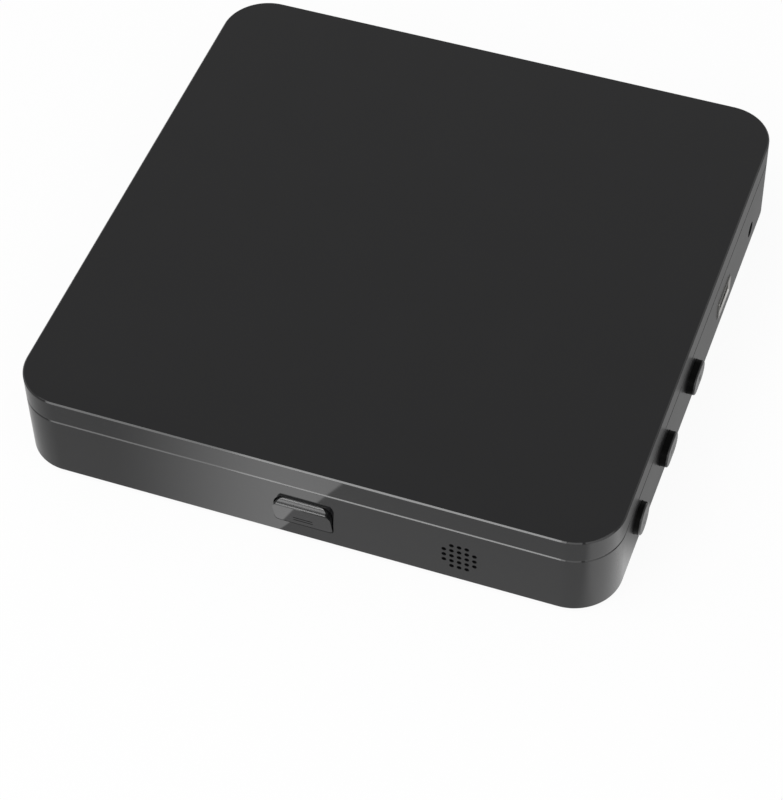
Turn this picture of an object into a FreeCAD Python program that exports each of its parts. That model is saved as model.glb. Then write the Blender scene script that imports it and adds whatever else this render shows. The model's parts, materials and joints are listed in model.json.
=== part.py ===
import FreeCAD, Part
import math
import os

# A compact disc player with a flip-up lid, in millimetres.
# X runs to the right, Y to the rear and Z up. The feet stand on Z = 0.
# Everything is drawn round the disc's spindle. The loader and the latch ahead of
# it set how far away the case's front is. export() then moves it all so that the
# origin lies under the middle of the bounding box.

# Case
case_width = 200.0
case_depth = 200.0
case_height = 33.7
corner_radius = 16.0
wall = 2.0
floor_thickness = 2.0
bottom_chamfer = 0.8
rim_chamfer = 0.4

# How far a cutting shape runs past what it cuts, and how deep joined shapes meet
over = 1.0
weld = 0.2

# Lid
lid_height = 8.75
lid_skin = 2.0
lid_edge_chamfer = 0.5
seam_gap = 0.3
liner_thickness = 1.5
liner_drop = 1.3
liner_screw_inset = 16.0
liner_rib_radius = 58.0
liner_rib_width = 2.0
liner_rib_height = 0.8
lid_boss_radius = 3.0

# Feet
foot_height = 1.3
foot_radius = 7.0
foot_recess = 0.6
foot_inset = 22.0
foot_rounding = 0.4
glue_gap = 0.05

# Deck and disc well
deck_drop = 1.0
deck_thickness = 1.8
fit_gap = 0.3
rib_thickness = 1.5
well_radius = 62.0
well_depth = 3.6
finger_radius = 13.0
disc_lift = 2.0
spindle_hole_radius = 16.5
lens_slot_half = 11.0
post_radius = 3.5
base_post_radius = 4.5
small_post_radius = 2.8
damper_post_radius = 2.4
post_split = 13.0
post_inset = 14.0
buffer_radius = 3.0
buffer_rows = (-50.0, 40.0)
buffer_inset = 7.0
vent_length = 13.0
vent_width = 2.0
vent_pitch = 5.0
vent_count = 8
vent_gap = 4.0

# Screws
screw_radius = 1.2
screw_slack = 0.05
head_radius = 2.4
head_height = 1.6
head_slack = 0.5
small_screw_radius = 0.9
small_head_radius = 1.7
small_head_height = 0.9
case_screw_grip = 8.0
keeper_screw_grip = 5.0
hinge_screw_grip = 3.5
loader_screw_gap = 0.6
liner_screw_step = 64.0

# Hinge
hinge_inset = 6.0
hinge_height = 1.95
hinge_side_inset = 32.0
lid_opening = 78.0
lug_half = 3.7
lug_radius = 3.0
ear_radius = 2.9
ear_thickness = 3.0
washer_thickness = 0.5
washer_slack = 0.05
washer_radius = 2.8
pin_radius = 1.0
pin_slack = 0.05
pin_head_radius = 1.8
pin_head_height = 0.6
sweep_clearance = 0.35
trough_wall = 1.4
ear_room = 0.8
bracket_length = 22.0
bracket_plate_length = 14.0
bracket_plate = 1.2
bracket_post = 6.0
bracket_bar_half = 1.6
hinge_screw_offset = 5.0
hinge_screw_setback = 5.0
hinge_post_depth = 5.0

# Open tab and latch
tab_width = 19.4
tab_height = 11.9
tab_lip_rise = 10.7
tab_bottom = 6.4
tab_proud = 2.2
tab_corner = 4.5
tab_low_corner = 1.5
tab_edge_chamfer = 0.25
tab_foot = 0.05
tab_lip = 0.7
tab_slack = 0.3
tab_travel = 2.0
tab_flange = 2.0
tab_flange_rise = 0.8
tab_flange_thickness = 1.7
grip_width = 6.5
grip_height = 0.45
grip_depth = 0.4
grip_pitch = 1.5
grip_start = 2.2
grip_count = 2
slider_half = 16.0
slider_lift = 0.5
slider_height = 4.0
slider_length = 18.5
slider_bar = 3.0
slider_front_bar = 3.3
riser_thickness = 2.5
latch_gap = 0.08
latch_clearance = 0.2
latch_room = 2.5
catch_width = 8.0
catch_thickness = 2.0
catch_setback = 10.0
catch_plate_reach = 5.0
catch_plate_half = 4.0
catch_screw_offset = 2.8
catch_room = 2.0
barb_lift = 0.1
barb_reach = 1.5
barb_height = 2.0
barb_tip = 0.8
nose_height = 1.5
latch_spring_radius = 2.0
latch_spring_x = 9.5
spring_rib_setback = 1.5
keeper_thickness = 1.4
keeper_reach = 8.0
keeper_screw_offset = 4.5

# Side buttons
button_height = 14.0
button_flange = 1.2
button_flange_thickness = 1.4
button_slack = 0.2
button_travel = 0.5
button_rounding = 0.5
power_y = -68.5
power_radius = 5.4
power_proud = 2.15
play_y = -38.9
stop_y = -7.0
pill_length = 12.9
pill_height = 8.2
pill_proud = 2.65
switch_size = 6.2
switch_depth = 6.0
switch_setback = 8.0
plunger_radius = 1.6
plunger_slack = 0.3
plunger_reach = 0.8
plunger_room = 0.7

# Front holes
grille_x = 51.7
grille_height = 11.7
grille_pitch_x = 2.5
grille_pitch_z = 2.55
grille_hole_radius = 0.78
grille_rows = 5
window_margin = 3.0
window_thickness = 1.0
receiver_offset = 3.0
receiver_setback = 4.0
receiver_size = (6.0, 4.0)
receiver_top = 3.5
receiver_lens = (2.2, 1.5)
lamp_offset = 5.0
lamp_setback = 3.0
lamp_radius = 1.5
lamp_length = 4.0

# Main board
board_stand = 3.7
board_thickness = 1.6
board_margin = 1.5
board_front_x = 46.0
board_rear_depth = 56.0
board_boss_radius = 3.0
board_hole_inset = 5.0
board_hole_front = 14.0
board_hole_step = 30.0
board_hole_side = 16.0
board_hole_left = 40.0
board_hole_rear = 12.0
board_screw_gap = 0.4
chip_x = -5.0
chip_size = 24.0
chip_height = 2.0
sink_size = 34.0
sink_margin = 3.0
sink_base = 2.0
sink_height = 7.5
fin_count = 9
fin_thickness = 1.2
memory_size = (9.0, 12.0, 1.2)
memory_gap = 4.5
large_can = (4.0, 8.0)
small_can = (3.2, 7.0)
can_inset = 10.0
can_pitch = 12.0
front_can_y = -30.0
coil_size = (5.0, 5.0)
coil_y = 4.0
crystal_size = (11.0, 4.0, 3.5)
crystal_y = -10.0
flash_size = (8.0, 10.0, 1.8)
flash_y = -53.0
part_inset = 14.0
connector_wall = 1.2
connector_depth = 4.0
connector_inset = 1.0
magnet_inset = (20.0, 22.0)
magnet_radius = 4.0
magnet_thickness = 1.5
sensor_size = (4.0, 3.0, 5.0)

# Sockets
usb_y = 32.5
usb_height = 11.6
usb_shell = (13.1, 5.7)
usb_flange = (14.5, 7.1)
usb_proud = 0.5
usb_depth = 14.9
usb_flange_depth = 1.5
usb_stand = (9.0, 1.0)
mouth_recess = 0.4
socket_back = 2.0
tongue_setback = 1.5
socket_sheet = 0.4
usb_tongue = (11.0, 1.9)
usb_tongue_offset = 0.4
jack_setback = 31.4
jack_height = 8.6
jack_bore_radius = 1.8
jack_depth = 12.0
jack_body = (6.4, 6.0)
jack_back = 1.5
jack_wing = (1.5, 2.0, 3.0)
jack_opening_radius = 2.8
hdmi_x = -20.0
hdmi_shell = (15.0, 5.6)
hdmi_depth = 12.0
hdmi_stand = 0.2
hdmi_chamfer = 1.6
hdmi_foot = (2.0, 7.0, 3.0)
hdmi_tongue = (11.0, 1.2)
coax_x = 20.0
coax_height = 13.5
coax_radius = 4.15
coax_proud = 8.0
coax_collar = 0.6
coax_hole_radius = 1.6
coax_body = (10.0, 10.5)
coax_depth = 10.0
coax_chamfer = 0.4
socket_gap = 0.2
dc_x = 62.0
dc_height = 13.0
dc_opening_radius = 3.2
dc_pin_radius = 1.0
dc_body = (9.0, 9.8)
dc_depth = 14.0
dc_collar = 0.45
dc_bore_depth = 9.0
dc_recess = 0.3
dc_pin_recess = 1.5
opening_slack = 0.3

# Loader
chassis_half = 42.0
chassis_rim = 0.2
chassis_rear = 25.0
sheet = 1.2
chassis_height = 12.8
flange_depth = 4.3
damper_x = 35.5
damper_front = 68.0
damper_rear = 19.0
damper_radius = 4.0
damper_core_radius = 2.6
damper_height = 5.0
rod_radius = 1.5
rod_offset = 22.0
rod_height = 11.2
rod_slack = 0.05
clip_half = 3.0
clip_length = 3.8
clip_rear_length = 3.0
clip_grip = 2.0
sled_inner = 15.5
sled_length = 21.5
sled_half = 19.0
sled_bottom = 9.35
sled_top = 17.5
sled_travel = 34.0
sled_room = 2.0
sled_window_rear = -14.5
sleeve_half = 3.0
fork_setback = 5.0
nut_length = 6.0
nut_half = 2.0
nut_height = 2.2
nut_arm_height = 4.5
lens_radius_at_rest = 24.0
lens_radius = 2.4
lens_holder_half = (8.0, 6.0)
lens_holder_bottom = 15.0
lens_holder_top = 18.6
lens_travel = 0.4
lens_seat = (0.8, 0.3)
lens_seat_depth = 0.7
lens_height = 1.9
lens_dome_radius = 3.4
coil_slot = (2.2, 2.4, 1.5, 1.2)
lead_screw_x = 28.5
lead_screw_radius = 1.5
nut_slack = 0.2
sled_motor_radius = 5.0
sled_motor_length = 15.0
sled_motor_setback = 6.5
motor_tab_half = 6.0
motor_chamfer = 0.5
journal_radius = 0.75
journal_length = 2.0
journal_slack = 0.05
cable_half = 8.0
cable_thickness = 0.3
cable_lap = 2.0
cable_insert = 2.5
cable_slack = 0.1

# Spindle
motor_plate = 0.8
motor_plate_half = 17.0
motor_plate_front = -12.0
motor_plate_rear = 20.0
bearing_radius = 4.0
bearing_height = 3.7
shaft_radius = 1.5
bearing_slack = 0.03
stator_radius = 10.0
stator_height = 2.6
stator_teeth = 9
stator_lift = 0.6
stator_core_radius = 5.8
tooth_half = 1.2
shoe_half = 2.6
shoe_depth = 1.0
rotor_radius = 12.0
rotor_height = 5.0
rotor_sheet = 0.8
rotor_lift = 0.4
rotor_rounding = 0.5
neck_radius = 6.0
shaft_insert = 1.0
turntable_radius = 14.5
turntable_thickness = 1.2
ring_width = 2.7
ring_height = 0.6
hub_radius = 7.4
hub_height = 1.25
hub_cone_height = 2.0
hub_cone_radius = 5.2
claw_count = 3
claw_half = 1.3
claw_slack = 0.2
claw_reach = 0.3
claw_lift = 0.2
claw_slope = 0.8
ring_inset = 0.3
claw_length = 3.5
claw_height = 1.0
claw_travel = 0.5
disc_thickness = 1.2

# Levels and faces that follow from the sizes above
case_bottom = foot_height
case_top = case_bottom + case_height
lid_edge = case_top - lid_height
base_rim = lid_edge - seam_gap
floor_top = case_bottom + floor_thickness
deck_top = base_rim - deck_drop
deck_under = deck_top - deck_thickness
well_floor = deck_top - well_depth
well_under = well_floor - deck_thickness
disc_level = well_floor + disc_lift
liner_top = case_top - lid_skin - liner_drop
liner_under = liner_top - liner_thickness
sled_window_front = -sled_inner - sled_length - sled_travel - sled_room
chassis_front = sled_window_front - clip_length - chassis_rim
right = case_width / 2
front = chassis_front - latch_room - slider_length - wall
rear = front + case_depth
centre_y = (front + rear) / 2
inner_right = right - wall
inner_rear = rear - wall
inner_front = front + wall
hinge_y = rear - hinge_inset
hinge_z = lid_edge + hinge_height
board_under = floor_top + board_stand
board_top = board_under + board_thickness
board_rear_y = rear - board_rear_depth
jack_y = rear - jack_setback
button_z = case_bottom + button_height
tab_low = case_bottom + tab_bottom
tab_high = tab_low + tab_height
slider_low = post_split + slider_lift
slider_top = slider_low + slider_height
slider_rear = inner_front + slider_length
slider_bar_rear = inner_front + tab_flange_thickness + slider_front_bar
keeper_top = slider_low - fit_gap
catch_y = inner_front + catch_setback
barb_y = catch_y + barb_reach
barb_low = slider_top + barb_lift
chassis_top = chassis_height + sheet
motor_floor = chassis_top + motor_plate
rotor_low = motor_floor + rotor_lift
rotor_top = rotor_low + rotor_height
turntable_top = disc_level - ring_height
turntable_low = turntable_top - turntable_thickness
hub_top = disc_level + hub_height
hdmi_low = board_top + hdmi_stand
switch_face = inner_right - switch_setback
motor_face = -sled_inner + sled_motor_setback
origin_shift = FreeCAD.Vector(-pill_proud / 2, (tab_proud - coax_proud) / 2 - centre_y, 0)


def vector(x, y, z):
    return FreeCAD.Vector(x, y, z)


def block(x0, x1, y0, y1, z0, z1):
    """A box between two corners."""
    return Part.makeBox(x1 - x0, y1 - y0, z1 - z0, vector(x0, y0, z0))


def rod_z(radius, x, y, z0, z1):
    return Part.makeCylinder(radius, z1 - z0, vector(x, y, z0))


def rod_x(radius, x0, x1, y, z):
    return Part.makeCylinder(radius, x1 - x0, vector(x0, y, z), vector(1, 0, 0))


def rod_y(radius, x, y0, y1, z):
    return Part.makeCylinder(radius, y1 - y0, vector(x, y0, z), vector(0, 1, 0))


def joined(shapes):
    """One solid out of several that overlap or meet."""
    first = shapes[0]
    return first.fuse(shapes[1:]).removeSplitter() if len(shapes) > 1 else first


def cut(shape, tools):
    return shape.cut(Part.makeCompound(tools)) if tools else shape


def extruded(points, direction):
    """A closed polygon, swept along a straight direction."""
    wire = Part.makePolygon([vector(*point) for point in points + points[:1]])
    return Part.Face(wire).extrude(vector(*direction))


def rounded_prism(width, depth, radius, z0, z1, x=0.0, y=0.0):
    """An upright prism with a rounded rectangle for its plan."""
    body = block(x - width / 2, x + width / 2, y - depth / 2, y + depth / 2, z0, z1)
    upright = [edge for edge in body.Edges if abs(edge.tangentAt(edge.FirstParameter).z) > 0.9]
    return body.makeFillet(radius, upright)


def edges_at(shape, axis, level):
    """Every edge that lies in the plane where the axis has this value."""
    low = axis + "Min"
    high = axis + "Max"
    found = []
    for edge in shape.Edges:
        box = edge.BoundBox
        if abs(getattr(box, low) - level) < 1e-4 and abs(getattr(box, high) - level) < 1e-4:
            found.append(edge)
    return found


def pill_x(length, height, y, z, x0, x1):
    """A round-ended bar's cross-section, long in Y, swept along X."""
    radius = height / 2
    half = length / 2 - radius
    ends = [rod_x(radius, x0, x1, y + side * half, z) for side in (-1, 1)]
    middle = block(x0, x1, y - half, y + half, z - radius, z + radius)
    return joined([middle] + ends)


def group(shapes):
    """Separate solids that share one node."""
    return Part.makeCompound(shapes)


def export(name, shape):
    moved = shape.copy()
    moved.translate(origin_shift)
    moved.exportStep(f"parts/{name}.step")


def case_prism(inset, z0, z1):
    """The case's outline drawn in by an inset, between two levels."""
    return rounded_prism(case_width - 2 * inset, case_depth - 2 * inset, corner_radius - inset,
                         z0, z1, 0, centre_y)


def corner_points(inset):
    """The four points that far in from the case's faces."""
    x = right - inset
    return [(side * x, y) for y in (front + inset, rear - inset) for side in (-1, 1)]


def screw(radius, head, height, x, y, z_head, z_tip):
    """A screw along Z; its head lies on the far side of z_head from its tip."""
    up = z_tip > z_head
    shank = rod_z(radius, x, y, min(z_head, z_tip), max(z_head, z_tip))
    low = z_head - height if up else z_head
    return joined([shank, rod_z(head, x, y, low, low + height)])


# Where pieces are screwed together
post_points = corner_points(post_inset)
foot_points = corner_points(foot_inset)
hinge_points = [hinge_side_inset - right, right - hinge_side_inset]
hinge_screw_y = hinge_y - bracket_length + hinge_screw_setback
hinge_screw_points = [(x + side * hinge_screw_offset, hinge_screw_y)
                      for x in hinge_points for side in (-1, 1)]
keeper_screw_points = [(side * (slider_half + keeper_screw_offset), catch_y + catch_thickness)
                       for side in (-1, 1)]
liner_x = right - liner_screw_inset
liner_screw_points = [(side * liner_x, front + liner_screw_inset + row * liner_screw_step)
                      for side in (-1, 1) for row in (0, 1, 2)]
catch_screw_points = [(side * (catch_width / 2 + catch_screw_offset), catch_y) for side in (-1, 1)]
board_screw_points = [(board_front_x + board_hole_inset, front + board_hole_front),
                      (board_front_x + board_hole_inset, board_rear_y - board_hole_step),
                      (-right + board_hole_side, board_rear_y + board_hole_inset),
                      (-right + board_hole_left, rear - board_hole_rear),
                      (board_front_x - board_hole_inset, rear - board_hole_rear)]
damper_points = [(side * damper_x, y) for side in (-1, 1) for y in (-damper_front, damper_rear)]


def sweep_radius(offset):
    """How far from the hinge the lid's rear edge reaches, this far into a corner's round."""
    depth = rear - corner_radius + math.sqrt(corner_radius ** 2 - offset ** 2) - hinge_y
    return math.hypot(depth, hinge_height) + sweep_clearance


def lid_sweep(extra):
    """The round space that the lid's rear edge swings through, corners included."""
    centre = right - corner_radius
    steps = 6
    reach = math.sqrt(corner_radius ** 2 - (corner_radius - hinge_inset) ** 2)
    parts = [rod_x(sweep_radius(0) + extra, -centre, centre, hinge_y, hinge_z)]
    for step in range(steps):
        near = reach * step / steps
        far = reach * (step + 1) / steps
        for side in (-1, 1):
            start = vector(side * (centre + near), hinge_y, hinge_z)
            parts.append(Part.makeCone(sweep_radius(near) + extra, sweep_radius(far) + extra,
                                       far - near, start, vector(side, 0, 0)))
    return joined(parts)


def lid_when_open():
    """The space behind the hinge that the fully opened lid takes, with its clearance."""
    body = case_prism(-sweep_clearance, lid_edge - sweep_clearance, case_top)
    body.rotate(vector(0, hinge_y, hinge_z), vector(1, 0, 0), -lid_opening)
    return body


def base_shell():
    outer = case_prism(0, case_bottom, base_rim)
    outer = outer.makeChamfer(bottom_chamfer, edges_at(outer, "Z", case_bottom))
    outer = outer.makeChamfer(rim_chamfer, edges_at(outer, "Z", base_rim))
    shell = outer.cut(case_prism(wall, floor_top, base_rim + over))
    posts = [rod_z(base_post_radius, x, y, floor_top - weld, post_split) for x, y in post_points]
    bosses = [rod_z(board_boss_radius, x, y, floor_top - weld, board_under)
              for x, y in board_screw_points]
    shell = joined([shell] + posts + bosses)
    behind_hinge = block(-right, right, hinge_y - over, rear + over, 0, base_rim + over)
    tools = [lid_sweep(0).common(behind_hinge), lid_when_open().common(behind_hinge)]
    tools += wall_openings()
    for x, y in post_points:
        tools.append(rod_z(screw_radius + screw_slack, x, y, case_bottom - over, post_split + over))
        tools.append(rod_z(head_radius + head_slack, x, y, case_bottom - over, floor_top + head_height))
    for x, y in board_screw_points:
        tools.append(rod_z(small_screw_radius + screw_slack, x, y, floor_top, board_under + over))
    for x, y in foot_points:
        tools.append(rod_z(foot_radius, x, y, case_bottom - over, case_bottom + foot_recess))
    tools += floor_vents()
    return cut(shell, tools)


def wall_openings():
    """Every hole through the four walls."""
    tools = [tab_outline(tab_slack, front - over, inner_front + over)]
    for column in range(grille_rows):
        for row in range(grille_rows):
            at_end = (0, grille_rows - 1)
            if column in at_end and row in at_end:
                continue
            x = grille_x + (column - (grille_rows - 1) / 2) * grille_pitch_x
            z = case_bottom + grille_height + (row - (grille_rows - 1) / 2) * grille_pitch_z
            tools.append(rod_y(grille_hole_radius, x, front - over, inner_front + over, z))
    tools.append(rod_x(power_radius + button_slack, inner_right - over, right + over, power_y, button_z))
    for y in (play_y, stop_y):
        length = pill_length + 2 * button_slack
        height = pill_height + 2 * button_slack
        tools.append(pill_x(length, height, y, button_z, inner_right - over, right + over))
    half_y = usb_flange[0] / 2 + opening_slack
    half_z = usb_flange[1] / 2 + opening_slack
    usb_z = case_bottom + usb_height
    tools.append(block(inner_right - over, right + over, usb_y - half_y, usb_y + half_y,
                       usb_z - half_z, usb_z + half_z))
    jack_z = case_bottom + jack_height
    tools.append(rod_x(jack_opening_radius, inner_right - over, right + over, jack_y, jack_z))
    half_x = hdmi_shell[0] / 2 + opening_slack
    tools.append(block(hdmi_x - half_x, hdmi_x + half_x, inner_rear - over, rear + over,
                       hdmi_low - opening_slack, hdmi_low + hdmi_shell[1] + opening_slack))
    tools.append(rod_y(coax_radius + coax_collar + opening_slack, coax_x, inner_rear - over, rear + over,
                       case_bottom + coax_height))
    tools.append(rod_y(dc_opening_radius + opening_slack, dc_x, inner_rear - over, rear + over,
                       case_bottom + dc_height))
    return tools


def floor_vents():
    """Two rows of cooling slots under the board's chip."""
    centre_x, centre_y = chip_centre()
    tools = []
    for row in (-0.5, 0.5):
        y = centre_y + row * (vent_length + vent_gap)
        for index in range(vent_count):
            x = centre_x + (index - (vent_count - 1) / 2) * vent_pitch
            tools.append(rounded_prism(vent_width, vent_length, 0.49 * vent_width,
                                       case_bottom - over, floor_top + over, x, y))
    return tools


def tab_outline(slack, y0, y1):
    """The open tab's front view, swept along Y."""
    half = tab_width / 2 + slack
    low = tab_low - slack
    high = tab_high + slack
    body = block(-half, half, y0, y1, low, high)
    top = [edge for edge in body.Edges
           if edge.BoundBox.ZMin > high - 1e-4 and abs(edge.tangentAt(0).y) > 0.9]
    body = body.makeFillet(tab_corner + slack, top)
    bottom = [edge for edge in body.Edges
              if edge.BoundBox.ZMax < low + 1e-4 and abs(edge.tangentAt(0).y) > 0.9]
    return body.makeFillet(tab_low_corner + slack, bottom)


def open_tab():
    """The wedge that shows, its flange behind the wall, and the latch slider."""
    wedge = tab_outline(0, front - tab_proud, inner_front)
    far = front - tab_proud - over
    ledge = tab_low + tab_lip_rise
    lip = ledge - tab_lip
    face = [(0, far, lip), (0, front - tab_proud, lip), (0, front - tab_foot, tab_low),
            (0, front - tab_foot, tab_low - over), (0, far, tab_low - over)]
    slope = extruded(face, (tab_width + 2 * over, 0, 0))
    slope.translate(vector(-tab_width / 2 - over, 0, 0))
    rise = tab_high - ledge
    scoop_radius = (tab_proud ** 2 + rise ** 2) / (2 * rise)
    scoop = rod_x(scoop_radius, -tab_width / 2 - over, tab_width / 2 + over,
                  front - tab_proud, ledge + scoop_radius)
    wedge = cut(wedge, [slope, scoop])
    wedge = wedge.makeChamfer(tab_edge_chamfer, edges_at(wedge, "Y", front - tab_proud))
    lean = (tab_proud - tab_foot) / (tab_lip_rise - tab_lip)
    grips = []
    for index in range(grip_count):
        low = tab_low + grip_start + index * grip_pitch
        y = front - tab_foot - (low - tab_low) * lean
        grips.append(block(-grip_width / 2, grip_width / 2, y - over, y + grip_depth,
                           low, low + grip_height))
    wedge = cut(wedge, grips)
    flange_half = tab_width / 2 + tab_flange
    bar_front = inner_front + tab_flange_thickness
    flange = block(-flange_half, flange_half, inner_front, bar_front,
                   tab_low - tab_flange_rise, tab_high + tab_flange_rise)
    window_rear = slider_rear - riser_thickness
    frame = block(-slider_half, slider_half, bar_front - weld, slider_rear, slider_low, slider_top)
    window = block(-slider_half + slider_bar, slider_half - slider_bar, slider_bar_rear, window_rear,
                   slider_low - over, slider_top + over)
    frame = frame.cut(window)
    half = catch_width / 2
    nose_low = barb_low + barb_height + latch_clearance
    nose_high = nose_low + nose_height
    riser = block(-half, half, window_rear, slider_rear, slider_top - weld, nose_high)
    nose = block(-half, half, barb_y + latch_gap, window_rear + weld, nose_low, nose_high)
    return joined([wedge, flange, frame, riser, nose])


def lid_catch():
    """The hook under the lid that the latch's nose holds."""
    half = catch_width / 2
    barb_high = barb_low + barb_height
    plate = block(-half - catch_plate_reach, half + catch_plate_reach,
                  catch_y - catch_thickness - catch_plate_half, catch_y + catch_plate_half,
                  liner_under - bracket_plate, liner_under)
    leg = block(-half, half, catch_y - catch_thickness, catch_y, barb_low, liner_under - weld)
    tooth = [(-half, catch_y - weld, barb_low), (-half, catch_y, barb_low),
             (-half, barb_y, barb_high - barb_tip), (-half, barb_y, barb_high),
             (-half, catch_y - weld, barb_high)]
    body = joined([plate, leg, extruded(tooth, (catch_width, 0, 0))])
    holes = [rod_z(small_screw_radius + screw_slack, x, y, barb_low, liner_under + over)
             for x, y in catch_screw_points]
    return cut(body, holes)


def latch_springs():
    middle = slider_low + slider_height / 2
    return group([rod_y(latch_spring_radius, side * latch_spring_x, slider_bar_rear,
                        spring_rib_front(), middle) for side in (-1, 1)])


def spring_rib_front():
    """The face of the deck's ribs that the latch springs push against."""
    return barb_y + spring_rib_setback


def latch_keeper():
    """The plate that holds the slider up and stops the pressed tab."""
    reach = slider_half + keeper_reach
    plate_front = inner_front + tab_flange_thickness + tab_travel + fit_gap
    plate = block(-reach, reach, plate_front, slider_rear, keeper_top - keeper_thickness, keeper_top)
    holes = [rod_z(small_screw_radius + screw_slack, x, y, 0, keeper_top + over)
             for x, y in keeper_screw_points]
    return cut(plate, holes)


def deck_plate():
    outline = case_prism(wall + fit_gap, 0, deck_top)
    plate = case_prism(wall + fit_gap, deck_under, deck_top)
    cups = [rod_z(well_radius + deck_thickness, 0, 0, well_under, deck_top)]
    pockets = [rod_z(well_radius, 0, 0, well_floor, deck_top + over)]
    for side in (-1, 1):
        cups.append(rod_z(finger_radius + deck_thickness, side * well_radius, 0, well_under, deck_top))
        pockets.append(rod_z(finger_radius, side * well_radius, 0, well_floor, deck_top + over))
    trough = lid_sweep(trough_wall).common(outline)
    inside = deck_top - weld
    posts = [rod_z(post_radius, x, y, post_split, inside) for x, y in post_points]
    posts += [rod_z(small_post_radius, x, y, keeper_top, inside) for x, y in keeper_screw_points]
    posts += [rod_z(small_post_radius, x, y, deck_under - hinge_post_depth, inside)
              for x, y in hinge_screw_points]
    posts += [rod_z(damper_post_radius, x, y, damper_top(), deck_level_under(x, y) + weld)
              for x, y in damper_points]
    ribs = []
    for side in (-1, 1):
        near = side * (slider_half + fit_gap)
        far = side * (slider_half + fit_gap + rib_thickness)
        ribs.append(block(min(near, far), max(near, far), inner_front + over, slider_rear,
                          keeper_top, inside))
        x = side * latch_spring_x
        ribs.append(block(x - latch_spring_radius, x + latch_spring_radius, spring_rib_front(),
                          spring_rib_front() + rib_thickness, slider_low, inside))
    body = joined([plate] + cups + [trough] + posts + ribs)
    tools = pockets + [lid_sweep(0)]
    tools.append(rod_z(spindle_hole_radius, 0, 0, 0, deck_top))
    tools.append(block(-lens_slot_half, lens_slot_half, -well_radius + over, 0, 0, deck_top))
    half = catch_width / 2 + catch_room
    tools.append(block(-half, half, catch_y - catch_thickness - catch_room, barb_y + catch_room,
                       0, deck_top + over))
    small = small_screw_radius + screw_slack
    for x, y in post_points:
        tools.append(rod_z(screw_radius + screw_slack, x, y, post_split - over,
                           post_split + case_screw_grip + fit_gap))
    for x, y in keeper_screw_points:
        tools.append(rod_z(small, x, y, keeper_top - over, keeper_top + keeper_screw_grip + fit_gap))
    for x, y in hinge_screw_points:
        tools.append(rod_z(small, x, y, deck_under - hinge_screw_grip - fit_gap, deck_top + over))
    for x, y in damper_points:
        tools.append(rod_z(small, x, y, damper_top() - over,
                           deck_level_under(x, y) - loader_screw_gap + fit_gap))
    return cut(body, tools)


def deck_level_under(x, y):
    """The deck's underside above a point: lower inside the disc well."""
    return well_under if math.hypot(x, y) < well_radius else deck_under


def damper_top():
    """The upper face of the rubber grommets round the loader's posts."""
    return chassis_height + sheet / 2 + damper_height / 2


def lid_shell():
    outer = case_prism(0, lid_edge, case_top)
    outer = outer.makeChamfer(lid_edge_chamfer, edges_at(outer, "Z", case_top))
    shell = outer.cut(case_prism(wall, lid_edge - over, case_top - lid_skin))
    bosses = [rod_z(lid_boss_radius, x, y, liner_top, case_top - lid_skin + weld)
              for x, y in liner_screw_points]
    shell = joined([shell] + bosses)
    holes = [rod_z(small_screw_radius + screw_slack, x, y, liner_top - over,
                   case_top - lid_skin + fit_gap)
             for x, y in liner_screw_points]
    return cut(shell, holes)


def lid_liner():
    """The inner panel of the lid, with the hinge lugs and a ring over the disc."""
    plate = case_prism(wall + fit_gap, liner_under, liner_top)
    rib_low = liner_under - liner_rib_height
    ring = rod_z(liner_rib_radius, 0, 0, rib_low, liner_under + weld)
    ring = ring.cut(rod_z(liner_rib_radius - liner_rib_width, 0, 0, rib_low - over, liner_under + over))
    parts = [plate, ring]
    tools = [rod_z(small_screw_radius + screw_slack, x, y, liner_under - over, liner_top + over)
             for x, y in liner_screw_points + catch_screw_points]
    reach = ear_start() + ear_thickness + pin_head_height + fit_gap
    for x in hinge_points:
        parts.append(rod_x(lug_radius, x - lug_half, x + lug_half, hinge_y, hinge_z))
        parts.append(block(x - lug_half, x + lug_half, hinge_y - lug_radius, hinge_y + lug_radius,
                           hinge_z, liner_under + weld))
        tools.append(rod_x(pin_radius + pin_slack, x - lug_half - over, x + lug_half + over,
                           hinge_y, hinge_z))
        for side in (-1, 1):
            near = x + side * lug_half
            far = x + side * reach
            tools.append(block(min(near, far), max(near, far), hinge_y - ear_radius - ear_room,
                               rear, hinge_z - lug_radius - over, liner_top + over))
    return cut(joined(parts), tools)


def ear_start():
    """How far from a lug's middle the bracket's arms begin."""
    return lug_half + washer_thickness + 2 * washer_slack


def hinge_bracket(x):
    """A plate on the deck with two arms that hold the pin."""
    plate_front = hinge_y - bracket_length
    plate_rear = plate_front + bracket_plate_length
    half = ear_start() + ear_thickness
    parts = [block(x - half, x + half, plate_front, plate_rear, deck_top, deck_top + bracket_plate)]
    bar_low = hinge_z - bracket_bar_half
    bar_high = hinge_z + bracket_bar_half
    for side in (-1, 1):
        near = x + side * ear_start()
        far = x + side * half
        x0 = min(near, far)
        x1 = max(near, far)
        parts.append(block(x0, x1, plate_rear - bracket_post, plate_rear, deck_top, bar_high))
        parts.append(block(x0, x1, plate_rear - bracket_post, hinge_y, bar_low, bar_high))
        parts.append(rod_x(ear_radius, x0, x1, hinge_y, hinge_z))
    tools = [rod_x(pin_radius + pin_slack / 2, x - half - over, x + half + over, hinge_y, hinge_z)]
    tools += [rod_z(small_screw_radius + screw_slack, x + side * hinge_screw_offset, hinge_screw_y,
                    deck_top - over, deck_top + bracket_plate + over) for side in (-1, 1)]
    return cut(joined(parts), tools)


def hinge_pin(x):
    half = ear_start() + ear_thickness
    shaft = rod_x(pin_radius, x - half - weld, x + half + weld, hinge_y, hinge_z)
    heads = [rod_x(pin_head_radius, x - half - pin_head_height, x - half, hinge_y, hinge_z),
             rod_x(pin_head_radius, x + half, x + half + pin_head_height, hinge_y, hinge_z)]
    return joined([shaft] + heads)


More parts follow.
